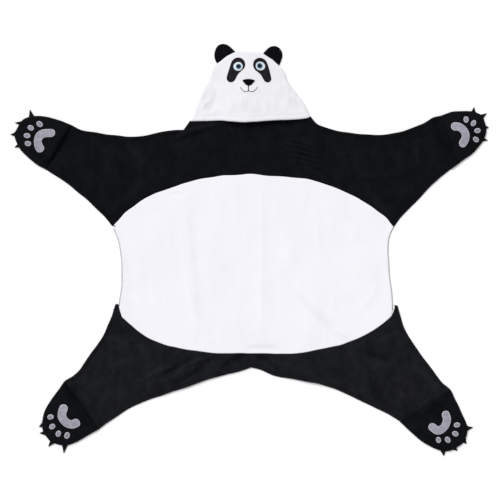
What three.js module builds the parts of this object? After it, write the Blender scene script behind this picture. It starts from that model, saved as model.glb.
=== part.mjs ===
// Wearable hooded blanket cut as a panda, laid out flat with its inner side up.
// Millimetres. +Z is up, +Y runs from the legs to the hood, and the cloth rests on z = 0.
import * as THREE from 'three';

// Driving dimensions
const wall = 3;            // one layer of fleece
const seamGap = 0.3;       // between two pieces that are sewn edge to edge or face to face
const appliqueGap = 0.5;   // under what is sewn on a puffed panel
const rimWidth = 1.4;      // how far in the rounding of a cut or sewn edge reaches
const rimLow = 0.22;       // share of the wall left under a rounded edge
const rimHigh = 0.66;      // share of the wall reached by a rounded edge
const hemWidth = 12;       // turned band on the free edges of the body
const hemFade = 2.5;       // width of the step down from a band to the plain cloth
const hemRise = 1.4;       // extra height where the cloth is turned
const cuffHem = 24;        // deeper band at the mouth of each mitt
const hoodHem = 15;        // band along the free edge of the hood
const mittPuff = 10;       // how high the mouth of a mitt stands open
const hoodPuff = 18;       // how high the face edge of the hood stands open
const earThickness = 6;    // turned ear, two layers with a seam all round
const palmHalfWidth = 13;  // half of the band that a palm pad is cut as
const padWall = 1.5;       // plush pads on the palms and toes
const padCrown = 1.2;
const toeLength = 11;      // half axes of a toe pad
const toeWidth = 8.6;
const patchWall = 1.4;     // felt patches and nose
const noseCrown = 2;
const eyeWall = 1.1;       // each satin disc of an eye
const clawLow = 3.1;       // height of a claw's middle line
const clawHalf = 2.2;      // half of a claw's thickness at its middle
const clawEdge = 1;        // half of its thickness at its sides
const clawGap = 0.6;       // between a claw and the seam that holds it
const quarterTurn = Math.PI / 2;

const fleeceBlack = { color: 0x15171b, roughness: 0.95, metalness: 0 };
const fleeceWhite = { color: 0xf0eff4, roughness: 0.95, metalness: 0 };
const plushGrey = { color: 0xa9a6b4, roughness: 0.9, metalness: 0 };
const feltBlack = { color: 0x1a191c, roughness: 0.9, metalness: 0 };
const satinWhite = { color: 0xeef2f6, roughness: 0.6, metalness: 0 };
const satinBlue = { color: 0x6c7f93, roughness: 0.55, metalness: 0 };
const satinNavy = { color: 0x101b2b, roughness: 0.5, metalness: 0 };

// Rows of a table become records with named columns.
function table(columns, rows) {
  const names = columns.split(' ');
  return rows.map((row) => Object.fromEntries(names.map((name, k) => [name, row[k]])));
}

const sameSpot = 0.5;   // points closer than this are one point
const mix = (a, b, t) => a + (b - a) * t;
const mixPoint = (a, b, t) => ({ x: mix(a.x, b.x, t), y: mix(a.y, b.y, t) });
const distance = (a, b) => Math.hypot(b.x - a.x, b.y - a.y);
const count = (n) => Array.from({ length: n }, (_, k) => k);

// A smooth line through a short table of points, cut in equal steps.
function smoothLine(rows, steps) {
  const curve = new THREE.SplineCurve(rows.map((row) => new THREE.Vector2(row.x, row.y)));
  return curve.getSpacedPoints(steps).map((point) => ({ x: point.x, y: point.y }));
}

// Stretches joined end to end; a point shared by two stretches is kept once.
function joinLines(...lines) {
  const joined = [];
  for (const point of lines.flat()) {
    if (joined.length === 0 || distance(joined.at(-1), point) > sameSpot) joined.push(point);
  }
  return joined;
}

// A point on a line of points, by its place in the list.
function atPlace(line, place) {
  const k = Math.min(Math.floor(place), line.length - 2);
  return mixPoint(line[k], line[k + 1], place - k);
}

// The sideways direction of a line at one of its points, to the left of its run.
function leftOf(line, k) {
  const before = line[Math.max(k - 1, 0)];
  const after = line[Math.min(k + 1, line.length - 1)];
  const length = distance(before, after);
  return { x: -(after.y - before.y) / length, y: (after.x - before.x) / length };
}

function shiftLeft(line, amount) {
  return line.map((point, k) => {
    const side = leftOf(line, k);
    return { x: point.x + side.x * amount, y: point.y + side.y * amount };
  });
}

// Soft ridges in the cloth that lies on the floor. The wall rises with them, both faces alike.
const folds = table('name x1 y1 x2 y2 width height', [
  ['belly, left', -209, 190, -165, -262, 46, 5],
  ['belly, centre', 39, 236, 37, -318, 26, 2.5],
  ['belly, low right', 120, -90, 300, -290, 64, 3],
  ['seat, left', -300, -462, -66, -352, 60, 5],
  ['seat, right', 96, -372, 300, -452, 60, 4],
  ['left knee', -430, -330, -350, -440, 64, 3.5],
  ['right knee', 440, -300, 392, -420, 66, 3.5],
  ['right chest', 110, 350, 165, 250, 58, 4],
  ['left chest', -150, 345, -215, 250, 60, 3.5],
  ['left elbow', -420, 320, -385, 180, 66, 3.5],
  ['right elbow', 445, 318, 400, 170, 66, 3.5],
]);

const foldEnds = 0.7;   // how bluntly a ridge runs out at its two ends

function foldHeight(x, y) {
  let height = 0;
  for (const fold of folds) {
    const run = { x: fold.x2 - fold.x1, y: fold.y2 - fold.y1 };
    const length = Math.hypot(run.x, run.y);
    const along = ((x - fold.x1) * run.x + (y - fold.y1) * run.y) / (length * length);
    const aside = Math.abs((x - fold.x1) * run.y - (y - fold.y1) * run.x) / length;
    if (along <= 0 || along >= 1 || aside >= fold.width / 2) continue;
    const across = Math.cos((aside / fold.width) * Math.PI) ** 2;
    height += fold.height * across * Math.sin(along * Math.PI) ** foldEnds;
  }
  return height;
}

// A closed mesh from points and triangles, turned so that its faces point out.
function closedGeometry(points, triangles) {
  let volume = 0;
  for (const [a, b, c] of triangles) {
    const [p, q, r] = [points[a], points[b], points[c]];
    volume += p.x * (q.y * r.z - q.z * r.y);
    volume += p.y * (q.z * r.x - q.x * r.z);
    volume += p.z * (q.x * r.y - q.y * r.x);
  }
  const faces = volume > 0 ? triangles : triangles.map(([a, b, c]) => [a, c, b]);
  const geometry = new THREE.BufferGeometry();
  const positions = points.flatMap((point) => [point.x, point.y, point.z]);
  geometry.setAttribute('position', new THREE.Float32BufferAttribute(positions, 3));
  geometry.setIndex(faces.flat());
  geometry.computeVertexNormals();
  return geometry;
}

// Both faces and the rim of a panel. Each grid point has x, y and its two heights.
function sheetGeometry(grid) {
  const columns = grid.length;
  const rows = grid[0].length;
  const flat = grid.flat();
  const points = [
    ...flat.map((point) => ({ x: point.x, y: point.y, z: point.high })),
    ...flat.map((point) => ({ x: point.x, y: point.y, z: point.low })),
  ];
  const upper = (i, j) => i * rows + j;
  const lower = (i, j) => flat.length + i * rows + j;
  const upperFaces = [];
  const otherFaces = [];
  for (const i of count(columns - 1)) {
    for (const j of count(rows - 1)) {
      const corners = [[i, j], [i, j + 1], [i + 1, j + 1], [i + 1, j]];
      const [a, b, c, d] = corners.map((corner) => upper(...corner));
      const [e, f, g, h] = corners.map((corner) => lower(...corner));
      upperFaces.push([a, b, c], [a, c, d]);
      otherFaces.push([e, g, f], [e, h, g]);
    }
  }
  const side = (i, j, k, l) => {
    otherFaces.push([upper(i, j), lower(k, l), lower(i, j)], [upper(i, j), upper(k, l), lower(k, l)]);
  };
  for (const j of count(rows - 1)) {
    side(0, j + 1, 0, j);
    side(columns - 1, j, columns - 1, j + 1);
  }
  for (const i of count(columns - 1)) {
    side(i, 0, i + 1, 0);
    side(i + 1, rows - 1, i, rows - 1);
  }
  const geometry = closedGeometry(points, [...upperFaces, ...otherFaces]);
  geometry.userData.skin = upperFaces.map((face) => face.map((index) => points[index]));
  return geometry;
}

const onEdge = 1e-6;   // slack for a point on the line between two faces

// The height of a panel's upper face over a point of the plan.
function heightOn(geometry, x, y) {
  for (const [a, b, c] of geometry.userData.skin) {
    const whole = (b.x - a.x) * (c.y - a.y) - (b.y - a.y) * (c.x - a.x);
    const s = ((x - a.x) * (c.y - a.y) - (y - a.y) * (c.x - a.x)) / whole;
    const t = ((b.x - a.x) * (y - a.y) - (b.y - a.y) * (x - a.x)) / whole;
    const inside = s >= -onEdge && t >= -onEdge && s + t <= 1 + onEdge;
    if (inside) return a.z + s * (b.z - a.z) + t * (c.z - a.z);
  }
  throw new Error(`nothing lies under ${x.toFixed(1)}, ${y.toFixed(1)}`);
}

const bandShare = 0.42;   // most of a narrow panel that the lines near one edge may take
const sectionGap = 0.3;   // least distance between two sections, in steps of an edge

// Distances from one edge to the other, with lines near each edge for its rounding and band.
function spreadAcross(length, nearLines, farLines, fill) {
  const room = bandShare * length;
  const near = nearLines.map((line) => line * Math.min(1, room / nearLines.at(-1)));
  const far = farLines.map((line) => length - line * Math.min(1, room / farLines.at(-1))).reverse();
  const inner = count(fill - 1).map((k) => mix(near.at(-1), far[0], (k + 1) / fill));
  return [...near, ...inner, ...far];
}

const edgeLines = (band) => (band > 0 ? [0, rimWidth, band, band + hemFade] : [0, rimWidth]);

// Places of the sections along a panel: one at each point of its edges, some between them
// where the cloth folds finely, and the lines of an end's rounding and band.
function sectionPlaces(line, startBand, endBand, fine = []) {
  const last = line.length - 1;
  const startStep = distance(line[0], line[1]);
  const endStep = distance(line[last - 1], line[last]);
  const start = edgeLines(startBand).map((d) => d / startStep);
  const end = edgeLines(endBand).map((d) => last - d / endStep).reverse();
  const middle = [...count(last + 1), ...fine].sort((a, b) => a - b);
  const free = (k) => k > start.at(-1) + sectionGap && k < end[0] - sectionGap;
  return [...start, ...middle.filter(free), ...end];
}

// How far a curved end departs from the straight line between its ends.
function bowOf(rows) {
  const curve = new THREE.SplineCurve(rows.map((row) => new THREE.Vector2(row.x, row.y)));
  return (t) => {
    const point = curve.getPoint(t);
    const straight = mixPoint(rows[0], rows.at(-1), t);
    return { x: point.x - straight.x, y: point.y - straight.y };
  };
}

// A cloth panel between an upper and a lower edge of equally many points.
function clothPanel(spec) {
  const { upper, lower, fill, startBand = 0, endBand = 0, sideBand = 0, fine } = spec;
  const { upperHem = () => 0, lowerHem = () => 0, startBow, endBow, bowFade = 1 } = spec;
  const { base = (x, y) => foldHeight(x, y) } = spec;
  const last = upper.length - 1;
  const places = sectionPlaces(upper, startBand, endBand, fine);
  const grid = places.map((place, i) => {
    const from = atPlace(upper, place);
    const to = atPlace(lower, place);
    const length = distance(from, to);
    const rows = spreadAcross(length, edgeLines(sideBand), edgeLines(sideBand), fill);
    const u = place / last;
    return rows.map((across, j) => {
      const v = across / length;
      const point = mixPoint(from, to, v);
      for (const [bow, share] of [[startBow, (1 - u) ** bowFade], [endBow, u ** bowFade]]) {
        if (!bow) continue;
        point.x += bow(v).x * share;
        point.y += bow(v).y * share;
      }
      const fromEnd = Math.min(i, places.length - 1 - i);
      const fromSide = Math.min(j, rows.length - 1 - j);
      const onRim = fromEnd === 0 || fromSide === 0;
      let band = 0;
      if (sideBand > 0 && j < 3) band = upperHem(place);
      if (sideBand > 0 && j > rows.length - 4) band = Math.max(band, lowerHem(place));
      if (startBand > 0 && i < 3) band = 1;
      if (endBand > 0 && i > places.length - 4) band = 1;
      const floor = base(point.x, point.y, u, v);
      const height = wall + hemRise * band;
      return {
        ...point,
        low: floor + (onRim ? wall * rimLow : 0),
        high: floor + (onRim ? height * rimHigh : height),
      };
    });
  });
  return sheetGeometry(grid);
}

// Mitts: sections across each mitt from its mouth to its tip, at equal turns of a quarter
// circle. The columns are the half widths beside its middle line.
const pawTurns = 8;
const paws = {
  front_left: {
    mouth: { x: -599.2, y: 325.8 }, heading: 148.8, upperSide: -1, tip: 140,
    sections: table('upper lower', [
      [79, 83], [75, 84], [68, 80], [60, 76], [50, 70], [39, 60], [28, 50], [17, 41], [7, 32],
    ]),
    toes: table('x y heading', [
      [-658.5, 394, -38], [-685, 383, -30], [-698, 359, -8], [-695, 334, -15],
    ]),
    palm: table('x y', [[-621, 367], [-645, 366], [-661, 353], [-663, 335], [-656, 319]]),
    claws: table('x y tipX tipY width', [
      [-684, 416, -689, 440, 14], [-719, 397, -736, 400, 11],
      [-734, 363, -750, 362, 10], [-726, 328, -737, 322, 9],
    ]),
  },
  front_right: {
    mouth: { x: 600.1, y: 341.5 }, heading: 19.3, upperSide: 1, tip: 150,
    sections: table('upper lower', [
      [79, 92], [76, 85], [75, 76], [70, 68], [64, 56], [55, 43], [44, 29], [33, 13], [20, -3],
    ]),
    toes: table('x y heading', [
      [676.5, 409, 80], [700.5, 398, 52], [713.5, 374, 13], [708.5, 346, -25],
    ]),
    palm: table('x y', [[640, 386], [658, 383], [674, 365], [673, 346], [666, 334]]),
    claws: table('x y tipX tipY width', [
      [703, 437, 704, 448, 12], [728, 419, 743, 429, 12],
      [741, 385, 750, 385, 9], [736, 346, 747, 345, 9],
    ]),
  },
  back_left: {
    mouth: { x: -528.6, y: -482.4 }, heading: -143.5, upperSide: -1, tip: 149,
    sections: table('upper lower', [
      [87, 97], [79, 93], [71, 89], [60, 86], [48, 80], [34, 68], [21, 54], [5, 42], [-9, 29],
    ]),
    toes: table('x y heading', [
      [-622.5, -523, 25], [-618.5, -552.5, 30], [-598.5, -573.5, 57], [-571.5, -578.5, 75],
    ]),
    palm: table('x y', [[-582, -494], [-588, -518.5], [-575, -538.5], [-556, -545], [-543, -540.5]]),
    claws: table('x y tipX tipY width', [
      [-651, -549, -660, -554, 12], [-643, -572, -658, -574, 12],
      [-620, -602, -631, -616, 12], [-580, -612, -583, -636, 15],
    ]),
  },
  back_right: {
    mouth: { x: 550, y: -487.1 }, heading: -58.2, upperSide: 1, tip: 164,
    sections: table('upper lower', [
      [93, 96], [89, 87], [88, 77], [86, 68], [82, 55], [73, 42], [59, 29], [45, 13], [30, -1],
    ]),
    toes: table('x y heading', [
      [649.5, -546.5, 10], [644.5, -574.5, -30], [620.5, -593, -65], [591.5, -593, -80],
    ]),
    palm: table('x y', [[613.5, -514], [618, -532], [607, -556], [587, -563], [570.5, -554]]),
    claws: table('x y tipX tipY width', [
      [683, -559, 700, -556, 13], [673, -599, 680, -607, 13],
      [644, -622, 652, -629, 11], [608, -629, 609, -645, 13],
    ]),
  },
};

// The two sides of a mitt, each from the mouth to the tip.
function pawSides(paw) {
  const turn = THREE.MathUtils.degToRad(paw.heading);
  const ahead = { x: Math.cos(turn), y: Math.sin(turn) };
  const aside = { x: -ahead.y * paw.upperSide, y: ahead.x * paw.upperSide };
  const place = (along, across) => ({
    x: paw.mouth.x + ahead.x * along + aside.x * across,
    y: paw.mouth.y + ahead.y * along + aside.y * across,
  });
  const alongs = paw.sections.map((_, k) => paw.tip * Math.sin((k / pawTurns) * quarterTurn));
  return {
    upper: paw.sections.map((row, k) => place(alongs[k], row.upper)),
    lower: paw.sections.map((row, k) => place(alongs[k], -row.lower)),
  };
}

const sides = Object.fromEntries(Object.entries(paws).map(([name, paw]) => [name, pawSides(paw)]));

// Edges of the body, each from left to right
const armSteps = 13;
const neckSteps = 14;
const armpitSteps = 7;
const bellySteps = armSteps * 2 + neckSteps - armpitSteps * 2;
const hipSteps = 10;

const neckLeft = { x: -187, y: 404 };
const neckRight = { x: 193, y: 420 };

const leftArmTop = joinLines(smoothLine([
  sides.front_left.upper[0],
  ...table('x y', [[-524, 376], [-474, 367], [-373, 356], [-323, 360], [-250, 375], [-206, 376]]),
], armSteps - 1), [neckLeft]);
const rightArmTop = smoothLine([
  neckRight,
  ...table('x y', [[204, 402], [254, 380], [304, 370], [404, 361], [454, 367], [504, 380], [555, 402]]),
  sides.front_right.upper[0],
], armSteps);
const leftArmUnder = smoothLine([
  sides.front_left.lower[0],
  ...table('x y', [[-599, 229], [-549, 190], [-499, 145], [-449, 97], [-430, 74]]),
], armpitSteps);
const rightArmUnder = smoothLine([
  ...table('x y', [[452, 73], [479, 109], [530, 159], [580, 212]]),
  sides.front_right.lower[0],
], armpitSteps);
const neckline = count(neckSteps + 1).map((k) => mixPoint(neckLeft, neckRight, k / neckSteps));
const bellyTop = smoothLine(table('x y', [
  [-430, 74], [-398, 109], [-348, 151], [-273, 187], [-198, 211], [-123, 227], [-22, 237],
  [78, 234], [153, 226], [229, 210], [304, 181], [379, 138], [429, 102], [452, 73],
]), bellySteps);
const bellyBottom = smoothLine(table('x y', [
  [-401, -209], [-348, -255], [-298, -284], [-223, -308], [-97, -323],
  [28, -322], [103, -325], [178, -319], [254, -304], [329, -282], [404, -241], [446, -208],
]), bellySteps);
const leftHook = { x: -414, y: -168 };
const rightHook = { x: 456, y: -173 };
const leftHip = smoothLine([
  sides.back_left.upper[0],
  ...table('x y', [[-541, -384], [-512, -346], [-485, -308], [-463, -271], [-444, -233], [-421, -169]]),
], hipSteps);
const rightHip = smoothLine([
  ...table('x y', [[463, -174], [481, -233], [499, -271], [524, -308], [581, -384], [610, -421]]),
  sides.back_right.upper[0],
], hipSteps);
// Inside of the legs: a stretch beside each hip, then one on to the crotch
const crotch = { x: 4, y: -367 };
const leftKnee = { x: -362, y: -490 };
const rightKnee = { x: 405, y: -500 };
const calfSteps = hipSteps + 1;
const thighSteps = bellySteps / 2 + 1;
const leftInside = joinLines(
  smoothLine([sides.back_left.lower[0], ...table('x y', [[-424, -525]]), leftKnee], calfSteps),
  smoothLine([
    leftKnee,
    ...table('x y', [[-323, -472], [-273, -455], [-223, -438], [-123, -404], [-40, -383]]),
    crotch,
  ], thighSteps),
);
const rightInside = joinLines(
  smoothLine([
    crotch,
    ...table('x y', [[34, -377], [78, -394], [178, -412], [229, -423], [279, -440], [379, -487]]),
    rightKnee,
  ], thighSteps),
  smoothLine([rightKnee, ...table('x y', [[435, -517]]), sides.back_right.lower[0]], calfSteps),
);

const reversed = (line) => [...line].reverse();

const bandEase = 1.5;   // steps over which a band rises at its ends

// 1 along a free stretch between two places of an edge, easing to 0 at its ends
function bandBetween(...stretches) {
  return (place) => Math.max(0, ...stretches.map(([from, to]) => (
    Math.min(1, (place - from) / bandEase, (to - place) / bandEase)
  )));
}

const group = new THREE.Group();

function addPiece(name, geometry, finish) {
  const mesh = new THREE.Mesh(geometry, new THREE.MeshStandardMaterial(finish));
  mesh.name = name;
  group.add(mesh);
  return geometry;
}

// Upper body: both sleeves in one piece with the yoke, with the back of each front mitt
const upperLast = pawTurns * 2 + armSteps * 2 + neckSteps;
addPiece('upper_body', clothPanel({
  upper: joinLines(reversed(sides.front_left.upper), leftArmTop, neckline, rightArmTop,
    sides.front_right.upper),
  lower: joinLines(reversed(sides.front_left.lower), leftArmUnder, bellyTop, rightArmUnder,
    sides.front_right.lower),
  sideBand: hemWidth,
  fill: 5,
  upperHem: bandBetween([pawTurns, pawTurns + armSteps - 2],
    [upperLast - pawTurns - armSteps + 2, upperLast - pawTurns]),
  lowerHem: bandBetween([pawTurns, pawTurns + armpitSteps],
    [upperLast - pawTurns - armpitSteps, upperLast - pawTurns]),
}), fleeceBlack);

// Lower body: the seat and both legs in one piece, with the back of each foot mitt
const lowerLast = pawTurns * 2 + (calfSteps + thighSteps) * 2;
addPiece('lower_body', clothPanel({
  upper: joinLines(reversed(sides.back_left.upper), leftHip, leftHook, bellyBottom, rightHook,
    rightHip, sides.back_right.upper),
  lower: joinLines(reversed(sides.back_left.lower), leftInside, rightInside, sides.back_right.lower),
  sideBand: hemWidth,
  fill: 6,
  upperHem: bandBetween([pawTurns, pawTurns + hipSteps],
    [lowerLast - pawTurns - hipSteps, lowerLast - pawTurns]),
  lowerHem: bandBetween([pawTurns, lowerLast - pawTurns]),
}), fleeceBlack);

// Belly: the white panel between them, with a hem at each side
const bellySide = table('x y', [[-411, 32], [-401, -56], [-402, -125], [-403, -178]]);
const bellyOtherSide = table('x y', [[436, 32], [437, -56], [444, -125], [447.5, -178]]);
const bellyFine = [5.67, 6.33, 6.67, 7.33, 7.67, 13.33, 13.67];
addPiece('belly_panel', clothPanel({
  upper: shiftLeft(bellyTop, -seamGap),
  lower: shiftLeft(bellyBottom, seamGap),
  startBand: hemWidth,
  endBand: hemWidth,
  fine: bellyFine,
  fill: 10,
  startBow: bowOf([bellyTop[0], ...bellySide, bellyBottom[0]]),
  endBow: bowOf([bellyTop.at(-1), ...bellyOtherSide, bellyBottom.at(-1)]),
}), fleeceWhite);

// Hood: a back and a front with one outline, sewn together up to a free edge over the face
const hoodSteps = 15;
const hoodFall = 1.5;    // how soon the hood flattens towards its crown
const hoodRound = 1.3;   // how roundly it rises between its sides
const faceEdge = table('x y', [
  [-184, 402], [-96, 405], [-71, 402], [-3, 400], [92, 406], [133, 408], [176, 413], [191, 418],
]);
const hoodLeft = smoothLine([
  faceEdge[0],
  ...table('x y', [[-154, 485], [-128, 537], [-108, 581], [-80, 606], [-48, 621], [-22, 624]]),
], hoodSteps);
const hoodRight = smoothLine([
  faceEdge.at(-1),
  ...table('x y', [
    [173, 454], [141, 501], [118, 533], [106, 562], [94, 583], [73, 601], [43, 617], [28, 621],
  ]),
], hoodSteps);
addPiece('hood_back', clothPanel({
  upper: [{ x: neckLeft.x + 1, y: neckLeft.y + seamGap }, ...hoodLeft.slice(1)],
  lower: [{ x: neckRight.x, y: neckRight.y + seamGap }, ...hoodRight.slice(1)],
  fill: 8,
  base: () => 0,
}), fleeceWhite);

const onBack = wall + seamGap;
const hoodRise = (u, v) => Math.cos(u * quarterTurn) ** hoodFall * Math.sin(v * Math.PI) ** hoodRound;
const hoodFront = addPiece('hood_front', clothPanel({
  upper: hoodLeft,
  lower: hoodRight,
  startBand: hoodHem,
  fill: 10,
  startBow: bowOf(faceEdge),
  bowFade: 3,
  base: (x, y, u, v) => onBack + hoodPuff * hoodRise(u, v),
}), fleeceWhite);

// A solid through rings of equally many points, closed at both ends by its middle points.
function ringGeometry(rings, first, last) {
  const around = rings[0].length;
  const points = [...rings.flat(), first, last];
  const firstIndex = points.length - 2;
  const lastIndex = points.length - 1;
  const triangles = [];
  for (const k of count(around)) {
    const next = (k + 1) % around;
    const top = (rings.length - 1) * around;
    triangles.push([firstIndex, next, k], [lastIndex, top + k, top + next]);
    for (const r of count(rings.length - 1)) {
      const [a, b] = [r * around + k, r * around + next];
      triangles.push([a, b, b + around], [a, b + around, a + around]);
    }
  }
  const geometry = closedGeometry(points, triangles);
  const [inner, outer] = [rings.at(-1), rings.at(-2)];
  geometry.userData.skin = count(around).flatMap((k) => {
    const next = (k + 1) % around;
    return [
      [inner[k], inner[next], last],
      [outer[k], outer[next], inner[next]],
      [outer[k], inner[next], inner[k]],
    ];
  });
  return geometry;
}

const shoulder = 0.78;   // share of an applique inside its rounded edge

// Applique sewn flat on a panel: its outline, a rounded edge and a slightly crowned middle.
function applique(outline, middle, under, thickness, crown) {
  const ring = (share, up) => outline.map((point) => {
    const at = mixPoint(middle, point, share);
    return { ...at, z: heightOn(under, at.x, at.y) + appliqueGap + up };
  });
  const floor = heightOn(under, middle.x, middle.y) + appliqueGap;
  return ringGeometry(
    [ring(1, 0), ring(1, thickness * rimHigh), ring(shoulder, thickness)],
    { ...middle, z: floor },
    { ...middle, z: floor + thickness + crown },
  );
}

function ovalOutline(centre, lengthwise, crosswise, heading, sideCount) {
  const turn = THREE.MathUtils.degToRad(heading);
  return count(sideCount).map((k) => {
    const angle = (k / sideCount) * 2 * Math.PI;
    const [p, q] = [lengthwise * Math.cos(angle), crosswise * Math.sin(angle)];
    return {
      x: centre.x + p * Math.cos(turn) - q * Math.sin(turn),
      y: centre.y + p * Math.sin(turn) + q * Math.cos(turn),
    };
  });
}

// Panda ears: round pieces sewn into the hood's seam at its two upper corners
const earRadius = 31;
const rootPart = 0.5;
const earSeam = 0.8;
const earRows = [0, 0.12, 0.5, 0.88, 1];   // shares from the root line to the outer edge
const earFlat = 0.8;                       // share of the thickness beside an ear's seam
const ears = table('name x y', [['ear_left', -78.5, 613.5], ['ear_right', 72, 609.5]]);
for (const ear of ears) {
  const [hoodSide, away] = ear.x < 0 ? [hoodLeft, 1] : [hoodRight, -1];
  const places = count(hoodSteps / rootPart).map((k) => k * rootPart);
  const covered = places.filter((place) => distance(atPlace(hoodSide, place), ear) < earRadius - rimWidth);
  const roots = shiftLeft(covered.map((place) => atPlace(hoodSide, place)), away * earSeam);
  const turnTo = (point) => Math.atan2(point.y - ear.y, point.x - ear.x);
  const steps = roots.length - 1;
  const [from, to] = [turnTo(roots[0]), turnTo(roots.at(-1))];
  const [start, end] = ear.x < 0 ? [from + 2 * Math.PI, to] : [from, to];
  const grid = roots.map((root, k) => {
    const t = k / steps;
    const angle = mix(start, end, t);
    const tip = { x: ear.x + earRadius * Math.cos(angle), y: ear.y + earRadius * Math.sin(angle) };
    return earRows.map((share) => {
      const onRim = share === 0 || share === 1 || k === 0 || k === steps;
      const crown = Math.sin(t * Math.PI) * Math.sin(share * Math.PI);
      return {
        ...mixPoint(root, tip, share),
        low: onRim ? earThickness * rimLow : 0,
        high: earThickness * (onRim ? rimHigh : mix(earFlat, 1, crown)),
      };
    });
  });
  addPiece(ear.name, sheetGeometry(grid), fleeceBlack);
}

// Face, sewn on the hood's front: tear-shaped patches, round eyes and a nose
const patches = table('side inner bigX bigY bigRadius smallX smallY smallRadius', [
  ['left', 1, -36.3, 580.5, 22, -57.3, 536.2, 13.3],
  ['right', -1, 33.4, 578.5, 22, 55.8, 536.2, 11.5],
]);
const patchWaist = 4;
const patchMiddle = 0.3;   // from the big end towards the small one
const discCrowns = { white: 0.4, iris: 0.3, pupil: 0.2 };
const eyes = table('side x y lookX lookY', [
  ['left', -34.4, 573, -33.7, 573.8],
  ['right', 33.8, 573.3, 31.8, 574.2],
]);
const eyeRadius = 15;
const irisRadius = 8.8;
const pupilRadius = 4.6;

// A round big end and a round small end, as one loop of points. The side towards the nose
// is drawn in by the waist.
function tearOutline(row, stepsBig, stepsSmall) {
  const run = { x: row.smallX - row.bigX, y: row.smallY - row.bigY };
  const length = Math.hypot(run.x, run.y);
  const heading = Math.atan2(run.y, run.x);
  const lean = Math.acos((row.bigRadius - row.smallRadius) / length);
  const arc = (x, y, radius, from, to, steps) => count(steps + 1).map((k) => {
    const angle = heading + mix(from, to, k / steps);
    return { x: x + radius * Math.cos(angle), y: y + radius * Math.sin(angle) };
  });
  const big = arc(row.bigX, row.bigY, row.bigRadius, lean, 2 * Math.PI - lean, stepsBig);
  const small = arc(row.smallX, row.smallY, row.smallRadius, -lean, lean, stepsSmall);
  const drawnIn = (from, to, side) => {
    const half = mixPoint(from, to, 0.5);
    const turn = heading + side * lean;
    return { x: half.x - patchWaist * Math.cos(turn), y: half.y - patchWaist * Math.sin(turn) };
  };
  if (row.inner > 0) return [...big, ...small, drawnIn(small.at(-1), big[0], 1)];
  return [...big, drawnIn(big.at(-1), small[0], -1), ...small];
}

for (const row of patches) {
  const middle = mixPoint({ x: row.bigX, y: row.bigY }, { x: row.smallX, y: row.smallY }, patchMiddle);
  const patch = addPiece(`eye_patch_${row.side}`,
    applique(tearOutline(row, 12, 6), middle, hoodFront, patchWall, 0), feltBlack);
  const eye = eyes.find((one) => one.side === row.side);
  const look = { x: eye.lookX, y: eye.lookY };
  const white = addPiece(`eye_white_${row.side}`,
    applique(ovalOutline(eye, eyeRadius, eyeRadius, 0, 18), eye, patch, eyeWall, discCrowns.white),
    satinWhite);
  const iris = addPiece(`eye_iris_${row.side}`,
    applique(ovalOutline(look, irisRadius, irisRadius, 0, 14), look, white, eyeWall, discCrowns.iris),
    satinBlue);
  addPiece(`eye_pupil_${row.side}`,
    applique(ovalOutline(look, pupilRadius, pupilRadius, 0, 10), look, iris, eyeWall, discCrowns.pupil),
    satinNavy);
}

const noseMiddle = { x: -2.8, y: 527 };
const noseOutline = table('x y', [
  [-21.5, 531], [-12, 534.4], [-2.8, 535.4], [6.5, 534.4], [16, 531],
  [11, 525], [5, 518.5], [-2.8, 514.7], [-10.5, 518], [-16.5, 524],
]);
addPiece('nose', applique(noseOutline, noseMiddle, hoodFront, patchWall, noseCrown), feltBlack);

const clawTaper = 0.8;   // how much thinner a claw is at its tip

// A claw is a small stuffed point caught in the seam around a mitt.
function clawGeometry(outline, row) {
  let nearest = 0;
  const lengths = [0];
  outline.slice(1).forEach((point, k) => lengths.push(lengths[k] + distance(outline[k], point)));
  const onOutline = (reach) => {
    const k = Math.max(0, lengths.findIndex((length) => length > reach) - 1);
    return mixPoint(outline[k], outline[k + 1], (reach - lengths[k]) / (lengths[k + 1] - lengths[k]));
  };
  for (let reach = 0; reach < lengths.at(-1); reach += 1) {
    if (distance(onOutline(reach), row) < distance(onOutline(nearest), row)) nearest = reach;
  }
  const ends = [onOutline(nearest - row.width / 2), onOutline(nearest + row.width / 2)];
  const middle = onOutline(nearest);
  const tip = { x: row.tipX, y: row.tipY };
  const reach = distance(middle, tip);
  const step = { x: (tip.x - middle.x) / reach, y: (tip.y - middle.y) / reach };
  const out = (point) => ({ x: point.x + step.x * clawGap, y: point.y + step.y * clawGap });
  const base = [out(ends[0]), out(middle), out(ends[1])];
  const ring = (share) => {
    const [a, m, b] = base.map((point) => mixPoint(point, tip, share));
    const shrink = 1 - share * clawTaper;
    const [edge, crown] = [clawEdge * shrink, clawHalf * shrink];
    return [
      { ...a, z: clawLow - edge }, { ...m, z: clawLow - crown }, { ...b, z: clawLow - edge },
      { ...b, z: clawLow + edge }, { ...m, z: clawLow + crown }, { ...a, z: clawLow + edge },
    ];
  };
  return ringGeometry([ring(0), ring(0.5)], { ...base[1], z: clawLow }, { ...tip, z: clawLow });
}

const palmSteps = 6;
const capShares = [0.97, 0.72, 0.4];        // sections of a palm pad's round ends
const acrossPalm = [-1, -0.8, 0, 0.8, 1];   // shares of its half width

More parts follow.
